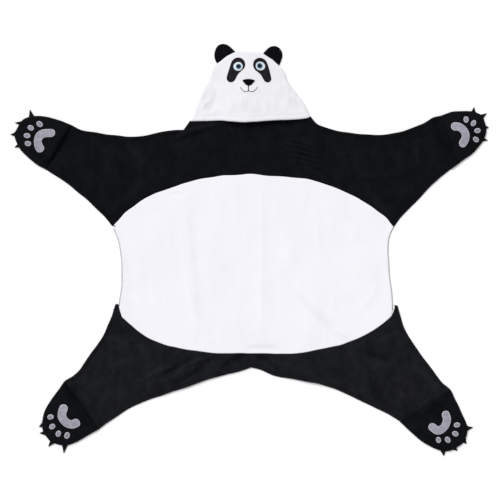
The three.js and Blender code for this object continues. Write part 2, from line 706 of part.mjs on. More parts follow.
// The long pad of a palm: a bent band of even width with round ends
function palmGeometry(rows, under) {
  const spine = smoothLine(rows, palmSteps);
  const beyond = (end, before, share) => {
    const reach = share * palmHalfWidth;
    return mixPoint(before, end, 1 + reach / distance(before, end));
  };
  const line = [
    ...capShares.map((share) => beyond(spine[0], spine[1], share)),
    ...spine,
    ...reversed(capShares).map((share) => beyond(spine.at(-1), spine.at(-2), share)),
  ];
  const width = (k) => {
    const fromEnd = Math.min(k, line.length - 1 - k);
    const share = fromEnd < capShares.length ? capShares[fromEnd] : 0;
    return palmHalfWidth * Math.sqrt(1 - share * share);
  };
  const grid = line.map((centre, k) => acrossPalm.map((share, j) => {
    const side = leftOf(line, k);
    const at = { x: centre.x + side.x * width(k) * share, y: centre.y + side.y * width(k) * share };
    const low = heightOn(under, at.x, at.y) + appliqueGap;
    const onRim = k === 0 || k === line.length - 1 || j === 0 || j === acrossPalm.length - 1;
    const crown = share === 0 ? padCrown : 0;
    return { ...at, low, high: low + (onRim ? padWall * rimHigh : padWall + crown) };
  }));
  return sheetGeometry(grid);
}

// Mitts: a puffed front on each limb's end, with its pads and claws
const mittFall = 1.6;    // how soon a mitt flattens towards its tip
const mittRound = 1.2;   // how roundly it rises between its sides
const mittRise = (u, v) => (1 - u ** mittFall) * Math.sin(v * Math.PI) ** mittRound;
for (const [name, paw] of Object.entries(paws)) {
  const { upper, lower } = sides[name];
  const front = addPiece(`${name}_mitt`, clothPanel({
    upper,
    lower,
    startBand: cuffHem,
    fill: 7,
    base: (x, y, u, v) => onBack + mittPuff * mittRise(u, v),
  }), fleeceBlack);
  addPiece(`${name}_palm_pad`, palmGeometry(paw.palm, front), plushGrey);
  const outline = [...upper, ...reversed(lower)];
  paw.toes.forEach((toe, k) => {
    const shape = ovalOutline(toe, toeLength, toeWidth, toe.heading, 10);
    addPiece(`${name}_toe_pad_${k + 1}`, applique(shape, toe, front, padWall, padCrown), plushGrey);
  });
  paw.claws.forEach((claw, k) => {
    addPiece(`${name}_claw_${k + 1}`, clawGeometry(outline, claw), feltBlack);
  });
}

// The origin lies on the floor under the middle of the whole.
const box = new THREE.Box3().setFromObject(group);
const middle = box.getCenter(new THREE.Vector3());
group.position.set(-middle.x, -middle.y, -box.min.z);

export default group;
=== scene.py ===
import math
import bpy
import numpy as np
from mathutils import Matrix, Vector
from mathutils.bvhtree import BVHTree
from mathutils.geometry import delaunay_2d_cdt
from mathutils.kdtree import KDTree


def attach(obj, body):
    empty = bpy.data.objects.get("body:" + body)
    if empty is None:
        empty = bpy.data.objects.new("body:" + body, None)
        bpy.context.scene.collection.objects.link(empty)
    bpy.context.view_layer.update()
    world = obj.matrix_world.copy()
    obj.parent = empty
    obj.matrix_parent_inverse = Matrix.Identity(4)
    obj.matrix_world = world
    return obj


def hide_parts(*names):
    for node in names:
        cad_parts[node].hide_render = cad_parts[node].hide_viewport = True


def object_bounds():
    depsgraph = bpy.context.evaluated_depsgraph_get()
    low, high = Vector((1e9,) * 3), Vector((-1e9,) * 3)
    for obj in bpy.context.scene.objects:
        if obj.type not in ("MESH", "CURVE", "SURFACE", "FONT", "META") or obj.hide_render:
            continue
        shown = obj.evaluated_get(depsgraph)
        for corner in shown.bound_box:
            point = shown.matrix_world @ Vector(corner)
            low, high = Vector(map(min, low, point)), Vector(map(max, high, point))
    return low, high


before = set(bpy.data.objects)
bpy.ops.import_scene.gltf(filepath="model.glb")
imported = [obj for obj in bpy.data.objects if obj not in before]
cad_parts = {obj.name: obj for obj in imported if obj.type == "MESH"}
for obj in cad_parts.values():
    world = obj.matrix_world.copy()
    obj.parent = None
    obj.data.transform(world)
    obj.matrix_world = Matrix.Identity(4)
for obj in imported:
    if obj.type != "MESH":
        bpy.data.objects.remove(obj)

# Panda wearable blanket laid flat, belly and palms up. Tables are in millimetres of the frame.
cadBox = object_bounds()
scene = bpy.context.scene


# camera, floor and light
view = {"lens": 85, "sensor": 36, "height": 3706, "across": 1.25, "up": 0.9}
studio = {"floor": "#f7f7f7", "fibre": "#f9f9f9", "fibreMm": 8.33, "halfFloor": 5, "sky": 0.60,
          "sun": 2.35, "sunWidth": 38, "sunLean": (-33, 28)}

cameraData = bpy.data.cameras.new("overheadCamera")
cameraData.lens = view["lens"]
cameraData.sensor_width = view["sensor"]
cameraData.clip_end = 50
camera = bpy.data.objects.new("overheadCamera", cameraData)
camera.location = (view["across"] / 1000, view["up"] / 1000, view["height"] / 1000)
scene.collection.objects.link(camera)
scene.camera = camera
scene.view_settings.view_transform = "Standard"  # keeps the white cloth as white as it is


def toLinear(hexColour):
    parts = [int(hexColour[k:k + 2], 16) / 255 for k in (1, 3, 5)]
    return tuple(c / 12.92 if c <= 0.04045 else ((c + 0.055) / 1.055) ** 2.4 for c in parts) + (1.0,)


def addNode(tree, kind, links=None, **settings):
    # a node with its settings; each link is a value for a socket, or another node's output
    node = tree.nodes.new(kind)
    for key, value in settings.items():
        setattr(node, key, value)
    for socket, value in (links or {}).items():
        if isinstance(value, bpy.types.NodeSocket):
            tree.links.new(value, node.inputs[socket])
        else:
            node.inputs[socket].default_value = value
    return node


def startMaterial(name):
    material = bpy.data.materials.new(name)
    material.use_nodes = True
    tree = material.node_tree
    tree.nodes.clear()
    return material, tree, addNode(tree, "ShaderNodeTexCoord").outputs["Object"]


def finishMaterial(tree, sockets):
    shader = addNode(tree, "ShaderNodeBsdfPrincipled", sockets)
    addNode(tree, "ShaderNodeOutputMaterial", {"Surface": shader.outputs[0]})


def noiseOf(tree, place, sizeMm, detail, roughness=0.5, distortion=0.0):
    sockets = {"Vector": place, "Scale": 1000 / sizeMm, "Detail": detail, "Roughness": roughness,
               "Distortion": distortion}
    return addNode(tree, "ShaderNodeTexNoise", sockets).outputs[0]


def mathOf(tree, operation, *values, **settings):
    settings["operation"] = operation
    return addNode(tree, "ShaderNodeMath", dict(enumerate(values)), **settings).outputs[0]


def spreadOf(tree, value, low, high):
    sockets = {"Value": value, "From Min": low, "From Max": high}
    return addNode(tree, "ShaderNodeMapRange", sockets).outputs[0]


def tintOf(tree, share, deep, face):
    sockets = {0: share, 6: toLinear(deep), 7: toLinear(face)}
    return addNode(tree, "ShaderNodeMix", sockets, data_type="RGBA").outputs[2]


def bumpOf(tree, height, strength, distanceMm, onTopOf=None):
    sockets = {"Height": height, "Strength": strength, "Distance": distanceMm / 1000}
    if onTopOf is not None:
        sockets["Normal"] = onTopOf
    return addNode(tree, "ShaderNodeBump", sockets).outputs[0]


def paperFloor():
    # matt paper backdrop: an even pale ground with the faintest fibre
    material, tree, place = startMaterial("matt_paper_backdrop")
    fibre = noiseOf(tree, place, studio["fibreMm"], 2.0)
    tint = tintOf(tree, fibre, studio["floor"], studio["fibre"])
    finishMaterial(tree, {"Base Color": tint, "Roughness": 0.95})
    return material


half = studio["halfFloor"]
floorMesh = bpy.data.meshes.new("floor")
floorMesh.from_pydata([(-half, -half, 0), (half, -half, 0), (half, half, 0), (-half, half, 0)], [],
                      [(0, 1, 2, 3)])
floor = bpy.data.objects.new("floor", floorMesh)
floor.location.z = -0.0004  # just clear of the cloth's underside
scene.collection.objects.link(floor)
floorMesh.materials.append(paperFloor())

world = bpy.data.worlds.new("softRoom")
scene.world = world
world.use_nodes = True
background = world.node_tree.nodes["Background"]
background.inputs["Color"].default_value = (1, 1, 1, 1)
background.inputs["Strength"].default_value = studio["sky"]
softbox = bpy.data.lights.new("softbox", "SUN")
softbox.energy = studio["sun"]
softbox.angle = math.radians(studio["sunWidth"])
softboxObject = bpy.data.objects.new("softbox", softbox)
lean = [math.radians(v) for v in studio["sunLean"]]
softboxObject.rotation_euler = (lean[0], -lean[1], 0)
scene.collection.objects.link(softboxObject)
print("camera, floor and light are set")


# cloth and thread materials
def brushedFleece(name, deep, face, fleece):
    # polyester polar fleece, knitted and brushed: a matt, slightly pilled face that catches
    # light along its nap. The nap is near 1 mm and is drawn 2.6 mm so that it shows.
    material, tree, place = startMaterial(name)
    nap = noiseOf(tree, place, fleece["napMm"], 3.0, 0.6)
    tufts = noiseOf(tree, place, fleece["tuftMm"], 2.0)
    wide, long = fleece["streakMm"]
    along = addNode(tree, "ShaderNodeMapping",
                    {"Vector": place, "Rotation": (0, 0, math.radians(fleece["streakTurn"])),
                     "Scale": (1000 / wide, 1000 / long, 1000 / wide)})
    brushing = noiseOf(tree, along.outputs[0], 1000, 3.0, 0.5, 0.7)  # the mapping gives it its size
    shade = mathOf(tree, "ADD", mathOf(tree, "MULTIPLY", nap, tufts), brushing)
    # painted light and shade on the folds, read from a per-point attribute: lighter on a ridge, darker in a
    # trough or a seam
    paintedShading = addNode(tree, "ShaderNodeAttribute", attribute_name="paintedShading").outputs["Fac"]
    patchy, relief = fleece["patchy"], fleece["relief"]
    paintedTone = mathOf(tree, "MULTIPLY_ADD", paintedShading, fleece["paintedShading"] * patchy, shade)
    tint = tintOf(tree, spreadOf(tree, paintedTone, 0.75 - patchy, 0.75 + patchy), deep, face)
    bump = bumpOf(tree, nap, relief, 0.6, bumpOf(tree, tufts, relief * 0.6, 1.2))
    finishMaterial(tree, {"Base Color": tint, "Roughness": 0.95, "Specular IOR Level": 0.06,
                          "Sheen Weight": fleece["sheen"], "Sheen Roughness": 0.5, "Normal": bump})
    return material


def shortPlush(name, deep, face):
    # grey velboa, a knitted pile of under 1 mm: dense and soft, mottled where it is pressed
    material, tree, place = startMaterial(name)
    pressed = noiseOf(tree, place, 9, 3.0, 0.7)
    both = mathOf(tree, "ADD", pressed, noiseOf(tree, place, 1.6, 2.0))
    tint = tintOf(tree, spreadOf(tree, both, 0.72, 1.25), deep, face)
    bump = bumpOf(tree, both, 0.45, 0.8)
    finishMaterial(tree, {"Base Color": tint, "Roughness": 0.85, "Specular IOR Level": 0.3,
                          "Sheen Weight": 0.15, "Sheen Roughness": 0.4, "Normal": bump})
    return material


def pressedFelt(name, deep, face):
    # black wool-mix felt, pressed and cut: matt, with short matted fibres and no weave
    material, tree, place = startMaterial(name)
    fibre = noiseOf(tree, place, 1.8, 4.0, 0.5, 1.4)
    both = mathOf(tree, "ADD", fibre, noiseOf(tree, place, 14, 2.0))
    tint = tintOf(tree, spreadOf(tree, both, 0.75, 1.25), deep, face)
    bump = bumpOf(tree, fibre, 0.4, 0.5)
    finishMaterial(tree, {"Base Color": tint, "Roughness": 0.9, "Specular IOR Level": 0.12,
                          "Sheen Weight": 0.04, "Sheen Roughness": 0.5, "Normal": bump})
    return material


def satinThread(name, deep, face, gloss=0.45, shine=0.4, centre=None, rings=None):
    # rayon embroidery thread laid side by side: soft gloss, with a fine line between threads.
    # Thread is 0.4 mm and is drawn 1 mm. With a centre, the threads run out from it.
    material, tree, place = startMaterial(name)
    tone = height = noiseOf(tree, place, 1.1, 2.0)
    if centre:
        inner, outer, count = rings
        off = addNode(tree, "ShaderNodeVectorMath",
                      {0: place, 1: (centre[0] / 1000, centre[1] / 1000, 0)}, operation="SUBTRACT")
        parts = addNode(tree, "ShaderNodeSeparateXYZ", {0: off.outputs[0]}).outputs
        turn = mathOf(tree, "ARCTAN2", parts[1], parts[0])
        height = mathOf(tree, "SINE", mathOf(tree, "MULTIPLY", turn, float(count)))
        flatPart = addNode(tree, "ShaderNodeCombineXYZ", {0: parts[0], 1: parts[1]})
        away = addNode(tree, "ShaderNodeVectorMath", {0: flatPart.outputs[0]}, operation="LENGTH")
        fade = spreadOf(tree, away.outputs["Value"], inner / 1000, outer / 1000)
        tone = mathOf(tree, "ADD", fade, mathOf(tree, "MULTIPLY", height, 0.1), use_clamp=True)
    finishMaterial(tree, {"Base Color": tintOf(tree, tone, deep, face), "Roughness": gloss,
                          "Specular IOR Level": shine, "Sheen Weight": 0.1 * shine,
                          "Normal": bumpOf(tree, height, 0.25, 0.4)})
    return material


# each fleece says how strongly the painted light and shade on its folds shows
blackNap = {"napMm": 2.6, "tuftMm": 7.0, "streakMm": (34, 44), "streakTurn": 64, "patchy": 0.46,
            "paintedShading": 0.8, "relief": 0.5, "sheen": 0.006}
legNap = {**blackNap, "streakMm": (30, 46), "streakTurn": -52, "patchy": 0.44, "sheen": 0.01}
whiteNap = {"napMm": 2.6, "tuftMm": 7.0, "streakMm": (60, 190), "streakTurn": 4, "patchy": 0.5,
            "paintedShading": 1.2, "relief": 0.16, "sheen": 0.0}
blackFleece = brushedFleece("black_polar_fleece", "#030405", "#121418", blackNap)
litLegFleece = brushedFleece("black_polar_fleece_legs_painted_lighter", "#090a0c", "#1d1e22", legNap)  # painted light: a lighter copy of the black fleece, so the legs look more lit than the yoke
whiteFleece = brushedFleece("white_polar_fleece", "#e1e0e6", "#eae9ee", whiteNap)
hoodFleece = brushedFleece("white_hood_fleece", "#d8d7dc", "#e5e3e8", {**whiteNap, "streakMm": (34, 60)})
earFleece = brushedFleece("black_ear_fleece", "#030304", "#0e0f13", {**blackNap, "streakMm": (14, 24)})
palmPlush = shortPlush("grey_velboa_plush", "#777582", "#a6a4b0")
toePlush = shortPlush("grey_velboa_plush_toes", "#6c6a76", "#9795a1")
blackFelt = pressedFelt("black_wool_felt", "#0e0c0f", "#232025")
clawFelt = pressedFelt("black_claw_felt", "#060607", "#131315")
noseThread = satinThread("black_nose_thread", "#020103", "#070608", 0.85, 0.05)
blackThread = satinThread("black_polyester_thread", "#010102", "#040506", 0.9, 0.05)
whiteThread = satinThread("white_polyester_thread", "#e3e2e8", "#efeef3", 0.9, 0.1)
# grey thread whose grey paints the thin shadow along the belly's free edges
edgeShadowThread = satinThread("grey_overlock_thread", "#b6b6ba", "#d0d0d4", 0.8, 0.1)
greyThread = satinThread("grey_rayon_thread", "#acaab5", "#cdcbd4", 0.6)
mouthThread = satinThread("charcoal_rayon_thread", "#151318", "#2e2b32", 0.6)
glintThread = satinThread("pale_blue_rayon_thread", "#5d7488", "#7d95a9", 0.6, 0.1)
print("materials are made")


# ways of making cloth
def meshPiece(name, points, faces, material):
    mesh = bpy.data.meshes.new(name)
    mesh.from_pydata((np.asarray(points) / 1000).tolist(), [], faces)
    mesh.polygons.foreach_set("use_smooth", [True] * len(mesh.polygons))
    mesh.materials.append(material)
    mesh.update()
    piece = bpy.data.objects.new(name, mesh)
    scene.collection.objects.link(piece)
    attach(piece, "root")
    return piece


def solidOf(nodeName):
    # the CAD node's points in mm, welded, with its triangles and which of them look up
    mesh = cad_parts[nodeName].data
    places, welded, points = {}, [], []
    for vertex in mesh.vertices:
        key = tuple(round(c, 6) for c in vertex.co)
        if key not in places:
            places[key] = len(points)
            points.append([c * 1000 for c in vertex.co])
        welded.append(places[key])
    triangles = [[welded[v] for v in face.vertices] for face in mesh.polygons]
    looksUp = [face.normal.z > 0.02 for face in mesh.polygons]
    return np.array(points), triangles, looksUp


def outlineOf(nodeName):
    # the edge of the node's upper side in plan, as one loop that runs anticlockwise
    points, triangles, looksUp = solidOf(nodeName)
    runs = set()
    for face, up in zip(triangles, looksUp):
        if up:
            runs.update(zip(face, face[1:] + face[:1]))
    follow = {}
    for a, b in sorted(runs):
        if (b, a) not in runs:
            follow.setdefault(a, []).append(b)
    best = []
    for start in list(follow):
        loop, at = [], start
        while follow.get(at):
            loop.append(at)
            at = follow[at].pop()
        if len(loop) > len(best):
            best = loop
    return points[best][:, :2]


leastGap, fineStep = 0.6, 0.8  # between an outline's points, and along the curves through them


def smoothLoop(loop, step, sharp=38):
    # a smooth curve through a loop of points, kept sharp at its corners, cut in even steps
    kept = [loop[0]]
    for point in loop[1:]:
        if np.hypot(*(point - kept[-1])) > leastGap:
            kept.append(point)
    if np.hypot(*(kept[0] - kept[-1])) < leastGap:
        kept.pop()
    loop = np.array(kept)
    total = len(loop)
    before = loop - np.roll(loop, 1, 0)
    after = np.roll(loop, -1, 0) - loop
    turn = np.arctan2(before[:, 0] * after[:, 1] - before[:, 1] * after[:, 0], (before * after).sum(1))
    corners = [k for k in range(total) if abs(turn[k]) > math.radians(sharp)]
    closed = not corners
    ends = [0, total] if closed else corners + [corners[0] + total]
    out = []
    for a, b in zip(ends, ends[1:]):
        stretch = loop[np.arange(a, b + 1) % total]
        first = stretch[-2] if closed else 2 * stretch[0] - stretch[1]
        final = stretch[1] if closed else 2 * stretch[-1] - stretch[-2]
        line = curveThrough(np.vstack([first, stretch, final]))
        reach = reachOf(line)
        cuts = max(2, round(reach[-1] / step))
        out.append(placesAlong(line, reach, np.linspace(0, reach[-1], cuts + 1)[:-1]))
    return np.vstack(out)


def curveBetween(a, b, c, d):
    # a centripetal curve from b to c, with a before and d after
    gaps = [max(math.sqrt(math.hypot(*(q - p))), 1e-3) for p, q in ((a, b), (b, c), (c, d))]
    t0, t1 = 0, gaps[0]
    t2, t3 = t1 + gaps[1], t1 + gaps[1] + gaps[2]
    steps = max(2, int(math.hypot(*(c - b)) / fineStep))
    t = np.linspace(t1, t2, steps, endpoint=False)[:, None]
    p = a * (t1 - t) / (t1 - t0) + b * (t - t0) / (t1 - t0)
    q = b * (t2 - t) / (t2 - t1) + c * (t - t1) / (t2 - t1)
    r = c * (t3 - t) / (t3 - t2) + d * (t - t2) / (t3 - t2)
    left = p * (t2 - t) / (t2 - t0) + q * (t - t0) / (t2 - t0)
    right = q * (t3 - t) / (t3 - t1) + r * (t - t1) / (t3 - t1)
    return left * (t2 - t) / (t2 - t1) + right * (t - t1) / (t2 - t1)


def curveThrough(knots):
    # a smooth line from the second knot to the last but one
    curves = [curveBetween(*knots[k - 1:k + 3]) for k in range(1, len(knots) - 2)]
    return np.vstack(curves + [knots[-2]])


def reachOf(line):
    # how far along a line each of its points lies
    return np.r_[0, np.cumsum(np.hypot(*np.diff(line, axis=0).T))]


def placesAlong(line, reach, at):
    return np.c_[np.interp(at, reach, line[:, 0]), np.interp(at, reach, line[:, 1])]


def inwardOf(edge):
    run = np.roll(edge, -1, 0) - np.roll(edge, 1, 0)
    run /= np.maximum(np.hypot(*run.T), 1e-9)[:, None]
    return np.c_[-run[:, 1], run[:, 0]]


def treeOf(edge, parts=4):
    # finds how deep inside an edge a point lies, and the nearest place on the edge
    after = np.roll(edge, -1, 0)
    tree = KDTree(len(edge) * parts)
    for k, (p, q) in enumerate(zip(edge, after)):
        for i in range(parts):
            tree.insert((*(p + (q - p) * (i / parts)), 0), k * parts + i)
    tree.balance()
    return tree, parts


def depthsIn(points, edgeTree):
    tree, parts = edgeTree
    found = [tree.find((x, y, 0)) for x, y in points[:, :2]]
    return np.array([hit[2] for hit in found]), np.array([hit[1] // parts for hit in found])


def insideOf(points, edge):
    inside = np.zeros(len(points), bool)
    x, y = points[:, 0], points[:, 1]
    for (x1, y1), (x2, y2) in zip(edge, np.roll(edge, -1, 0)):
        if y1 != y2:
            inside ^= ((y1 > y) != (y2 > y)) & (x < (x2 - x1) * (y - y1) / (y2 - y1) + x1)
    return inside


def fillPlan(edge, edgeTree, rings, spacing):
    # triangles inside an edge: rings of points beside it, and an even field of points within
    inward = inwardOf(edge)
    parts = [edge]
    for ring in rings:
        places = edge + inward * ring
        depth, _ = depthsIn(places, edgeTree)
        parts.append(places[depth > 0.94 * ring])
    low, high = edge.min(0), edge.max(0)
    rows = np.arange(low[1], high[1], spacing * 0.866)
    field = []
    for k, y in enumerate(rows):
        across = np.arange(low[0] + (k % 2) * spacing / 2, high[0], spacing)
        field.append(np.c_[across, np.full(len(across), y)])
    field = np.vstack(field)
    field = field[insideOf(field, edge)]
    depth, _ = depthsIn(field, edgeTree)
    parts.append(field[depth > (rings[-1] if rings else 0) + spacing * 0.6])
    plan = np.vstack(parts)
    count = len(edge)
    border = [(k, (k + 1) % count) for k in range(count)]
    made = delaunay_2d_cdt([Vector(p) for p in plan.tolist()], border, [], 1, 1e-5)
    return np.array([tuple(v) for v in made[0]]), [list(face) for face in made[2]]


def roundedEdge(depth, reach):
    # how much of the full height cloth has this far in from its edge
    share = np.clip(depth / reach, 0, 1)
    return np.sqrt(1 - (1 - share) ** 2)


def closedSheet(edge, upper, under, rim, rings, spacing, edgeShare, coarse=3):
    # a closed thin sheet: upper(places, depth, nearest) and under(places) give full heights
    edgeTree = treeOf(edge)
    count = len(edge)
    nearest = np.arange(count)
    edgeTop = upper(edge, np.zeros(count), nearest)
    edgeLow = under(edge)
    edgeHeight = edgeLow + edgeShare * (edgeTop - edgeLow)
    topPlan, topFaces = fillPlan(edge, edgeTree, rings, spacing)
    lowRings = [rim * share for share in (0.15, 0.6, 1.1)]
    lowPlan, lowFaces = fillPlan(edge, edgeTree, lowRings, spacing * coarse)
    depth, near = depthsIn(topPlan, edgeTree)
    full = upper(topPlan, depth, near)
    topHeight = edgeHeight[near] + (full - edgeHeight[near]) * roundedEdge(depth, rim)
    topHeight[:count] = edgeHeight
    lowDepth, lowNear = depthsIn(lowPlan, edgeTree)
    base = under(lowPlan)
    lowHeight = edgeHeight[lowNear] + (base - edgeHeight[lowNear]) * roundedEdge(lowDepth, rim)
    points = np.vstack([np.c_[topPlan, topHeight], np.c_[lowPlan, lowHeight][count:]])
    shift = len(topPlan) - count
    faces = topFaces + [[v if v < count else v + shift for v in reversed(face)] for face in lowFaces]
    return points, faces, len(topFaces)


highUp, deepDown = 200, -50  # clear of the whole part


def surfaceOf(points, faces):
    return BVHTree.FromPolygons([Vector(p) for p in points.tolist()], faces)


def heightOn(surface, places):
    heights = np.zeros(len(places))
    for k, (x, y) in enumerate(np.asarray(places)[:, :2]):
        hit = surface.ray_cast(Vector((x, y, highUp)), Vector((0, 0, -1)))[0]
        if hit is None:
            hit = surface.find_nearest(Vector((x, y, 5)))[0]
        heights[k] = hit.z
    return heights


def fieldOver(edge, cell=4.0):
    # a grid of places over a panel, for heights that are blurred so that no facets show
    low = edge.min(0) - 8 * cell
    size = np.ceil((edge.max(0) + 8 * cell - low) / cell).astype(int) + 1
    axes = [low[k] + cell * np.arange(size[k]) for k in (0, 1)]
    places = np.array(np.meshgrid(*axes, indexing="ij")).reshape(2, -1).T
    return {"cell": cell, "low": low, "size": size, "places": places}


def blurField(field, grid, reach):
    for axis in (0, 1):
        k = np.arange(field["size"][axis])
        kernel = np.exp(-0.5 * ((k[:, None] - k) * field["cell"] / reach) ** 2)
        grid = kernel @ grid if axis == 0 else grid @ kernel.T
    return grid


def fillField(field, heights, known, reach):
    heights = np.where(known, heights, 0).reshape(field["size"])
    weight = blurField(field, known.reshape(field["size"]).astype(float), reach)
    return blurField(field, heights, reach) / np.maximum(weight, 1e-9)


def lumpField(field, seed, reach, size):
    grid = blurField(field, np.random.default_rng(seed).standard_normal(field["size"]), reach)
    return grid * (size / grid.std())


def readField(field, grid, places):
    spot = (np.asarray(places)[:, :2] - field["low"]) / field["cell"]
    cell = np.clip(np.floor(spot).astype(int), 0, field["size"] - 2)
    (i, j), (u, v) = cell.T, np.clip(spot - cell, 0, 1).T
    return ((1 - u) * (1 - v) * grid[i, j] + u * (1 - v) * grid[i + 1, j]
            + (1 - u) * v * grid[i, j + 1] + u * v * grid[i + 1, j + 1])


def creaseHeights(places, rows):
    # soft ridges (+) and troughs (-): from x1, y1 to x2, y2, bowed aside, with a height and
    # a half width; the lean makes one flank steeper than the other
    total = np.zeros(len(places))
    t = np.linspace(0, 1, 41)
    for x1, y1, x2, y2, bow, height, width, leaning in rows:
        start, run = np.array([x1, y1]), np.array([x2 - x1, y2 - y1])
        length = np.hypot(*run)
        aside = np.array([-run[1], run[0]]) / length
        line = start + np.outer(t, run) + np.outer(bow * 4 * t * (1 - t), aside)
        low, high = line.min(0) - 3.2 * width, line.max(0) + 3.2 * width
        close = np.flatnonzero(((places[:, :2] > low) & (places[:, :2] < high)).all(1))
        if len(close) == 0:
            continue
        off = places[close][:, None, :2] - line[None]
        far = np.hypot(off[..., 0], off[..., 1])
        best = far.argmin(1)
        gap = far[np.arange(len(close)), best]
        toSide = (off[np.arange(len(close)), best] * aside).sum(1)
        reach = width * (1 + leaning * np.sign(toSide)) * (0.75 + 0.5 * t[best])
        total[close] += height * np.sin(np.pi * t[best]) ** 0.8 * np.exp(-(gap / reach) ** 2)
    return total


def tubeFaces(count, sides):
    # the faces of a closed tube through so many rings
    faces = [[r * sides + k, r * sides + (k + 1) % sides, (r + 1) * sides + (k + 1) % sides,
              (r + 1) * sides + k] for r in range(count - 1) for k in range(sides)]
    return faces + [list(range(sides))[::-1], list(range((count - 1) * sides, count * sides))]


def threadBits(name, starts, ends, radius, arch, material, slotName, sides=5):
    # short lengths of thread, one for each start and end, with pinched ends
    starts, ends = np.asarray(starts), np.asarray(ends)
    run = ends - starts
    aside = np.c_[-run[:, 1], run[:, 0], np.zeros(len(run))]
    aside /= np.maximum(np.linalg.norm(aside, axis=1), 1e-9)[:, None]
    shares = [(0.0, 0.3), (0.22, 1.0), (0.78, 1.0), (1.0, 0.3)]
    rings = []
    for share, girth in shares:
        centre = starts + run * share
        centre[:, 2] += arch * 4 * share * (1 - share)
        for k in range(sides):
            angle = 2 * math.pi * k / sides
            ring = centre + aside * (math.cos(angle) * radius * girth)
            ring[:, 2] += math.sin(angle) * radius * girth
            rings.append(ring)
    points = np.stack(rings, 1).reshape(-1, 3)
    per = len(shares) * sides
    one = tubeFaces(len(shares), sides)
    faces = [[v + i * per for v in face] for i in range(len(starts)) for face in one]
    return meshPiece(name, points, faces, material)


def stitchesAlong(path, surface, stitch):
    # starts and ends of a row of topstitches along a path that lies on a surface
    reach = reachOf(path)
    count = int((reach[-1] - stitch["length"]) / stitch["pitch"])
    begins = np.arange(count) * stitch["pitch"] + (reach[-1] - count * stitch["pitch"]) / 2
    ends = []
    for along in (begins, begins + stitch["length"]):
        places = placesAlong(path, reach, along)
        ends.append(np.c_[places, heightOn(surface, places) + stitch["lift"]])
    return ends


def freeRuns(edge, free, depth, edgeTree):
    # stretches of the line this deep inside the free parts of an edge
    places = edge + inwardOf(edge) * depth
    found, _ = depthsIn(places, edgeTree)
    good = (free > 0.5) & (found > 0.93 * depth)
    count = len(edge)
    if good.all():
        return [np.vstack([places, places[:1]])]
    first = int(np.flatnonzero(~good)[0])
    runs, run = [], []
    for k in range(first, first + count + 1):
        if good[k % count]:
            run.append(places[k % count])
        elif run:
            if len(run) > 6:
                runs.append(np.array(run))
            run = []
    return runs


outlines = {}
surfaces = {}
stray = {"seeds": (5, 6), "cell": 10.0, "reach": 17.0, "size": 0.9}
cadSpan = np.array([corner[:2] for corner in cadBox]) * 1000
strayOver = fieldOver(cadSpan, stray["cell"])
strayGrids = [lumpField(strayOver, seed, stray["reach"], stray["size"]) for seed in stray["seeds"]]


def strayed(edge):
    # soft cloth never lies quite along its pattern: both sides of a seam move alike
    return edge + np.c_[[readField(strayOver, grid, edge) for grid in strayGrids]].T


pulledIn = {  # x y amount reach: how far sewing draws an edge in there, and out where it is below 0
    "belly": [(-402, -166, -7.0, 34)],
    "hood": [(-92, 592, 5.5, 22), (-62, 614, 1.8, 20), (86, 588, 5.8, 22), (60, 608, 3.0, 18)],
}


def edgeFor(nodeName, step):
    if (nodeName, step) not in outlines:
        edge = strayed(smoothLoop(outlineOf(nodeName), step))
        for x, y, amount, reach in pulledIn.get(nodeName.split("_")[0], ()):
            near = np.exp(-(np.hypot(*(edge - (x, y)).T) / reach) ** 2)
            edge = edge + inwardOf(edge) * (amount * near)[:, None]
        outlines[(nodeName, step)] = edge
    return outlines[(nodeName, step)]


sewnGap = 4.5  # edges that are closer than this are sewn together


def freePart(edge, partners, step, onlyAbove=None):
    # 1 where an edge is free, 0 where it is sewn to one of its partners
    free = np.ones(len(edge))
    for partner in partners:
        other = edgeFor(partner, step)
        if onlyAbove is not None:
            other = other[other[:, 1] > onlyAbove]
        gap, _ = depthsIn(edge, treeOf(other, 1))
        free[gap < sewnGap] = 0
    smooth = sum(np.roll(free, k) for k in range(-2, 3)) / 5
    return np.minimum(free, smooth)


def overlockEdge(name, edge, free, surface, cut):
    # grey threads looped over a free edge, side by side; their grey is painted shadow along the edge
    lock = cut["overlock"]
    inward = inwardOf(edge)
    after = np.roll(edge, -1, 0)
    starts, ends = [], []
    for k in np.flatnonzero(free > 0.5):
        count = int(np.hypot(*(after[k] - edge[k])) / lock["pitch"])
        for i in range(count):
            place = edge[k] + (after[k] - edge[k]) * (i / count)
            starts.append([*(place - inward[k] * lock["outside"]), 0.0])
            ends.append([*(place + inward[k] * lock["width"]), 0.0])
    starts, ends = np.array(starts), np.array(ends)
    height = heightOn(surface, ends)
    starts[:, 2], ends[:, 2] = height * lock["startsAt"], height + lock["lift"]
    return threadBits(name, starts, ends, lock["radius"], lock["arch"], edgeShadowThread, cut["slot"])


def sidesOf(node, edge, field, reach):
    # heights of the CAD solid's upper side and underside, blurred so that no facets show
    points, triangles, _ = solidOf(node)
    solid = surfaceOf(points, triangles)
    spots = field["places"]
    top, low = np.zeros(len(spots)), np.zeros(len(spots))
    depth, _ = depthsIn(spots, treeOf(edge, 1))
    known = insideOf(spots, edge) & (depth > 3.0)
    for k in np.flatnonzero(known):
        x, y = spots[k]
        over = solid.ray_cast(Vector((x, y, highUp)), Vector((0, 0, -1)))[0]
        below = solid.ray_cast(Vector((x, y, deepDown)), Vector((0, 0, 1)))[0]
        known[k] = over is not None and below is not None
        if known[k]:
            top[k], low[k] = over.z, below.z
    return [fillField(field, heights, known, reach) for heights in (top, low)]


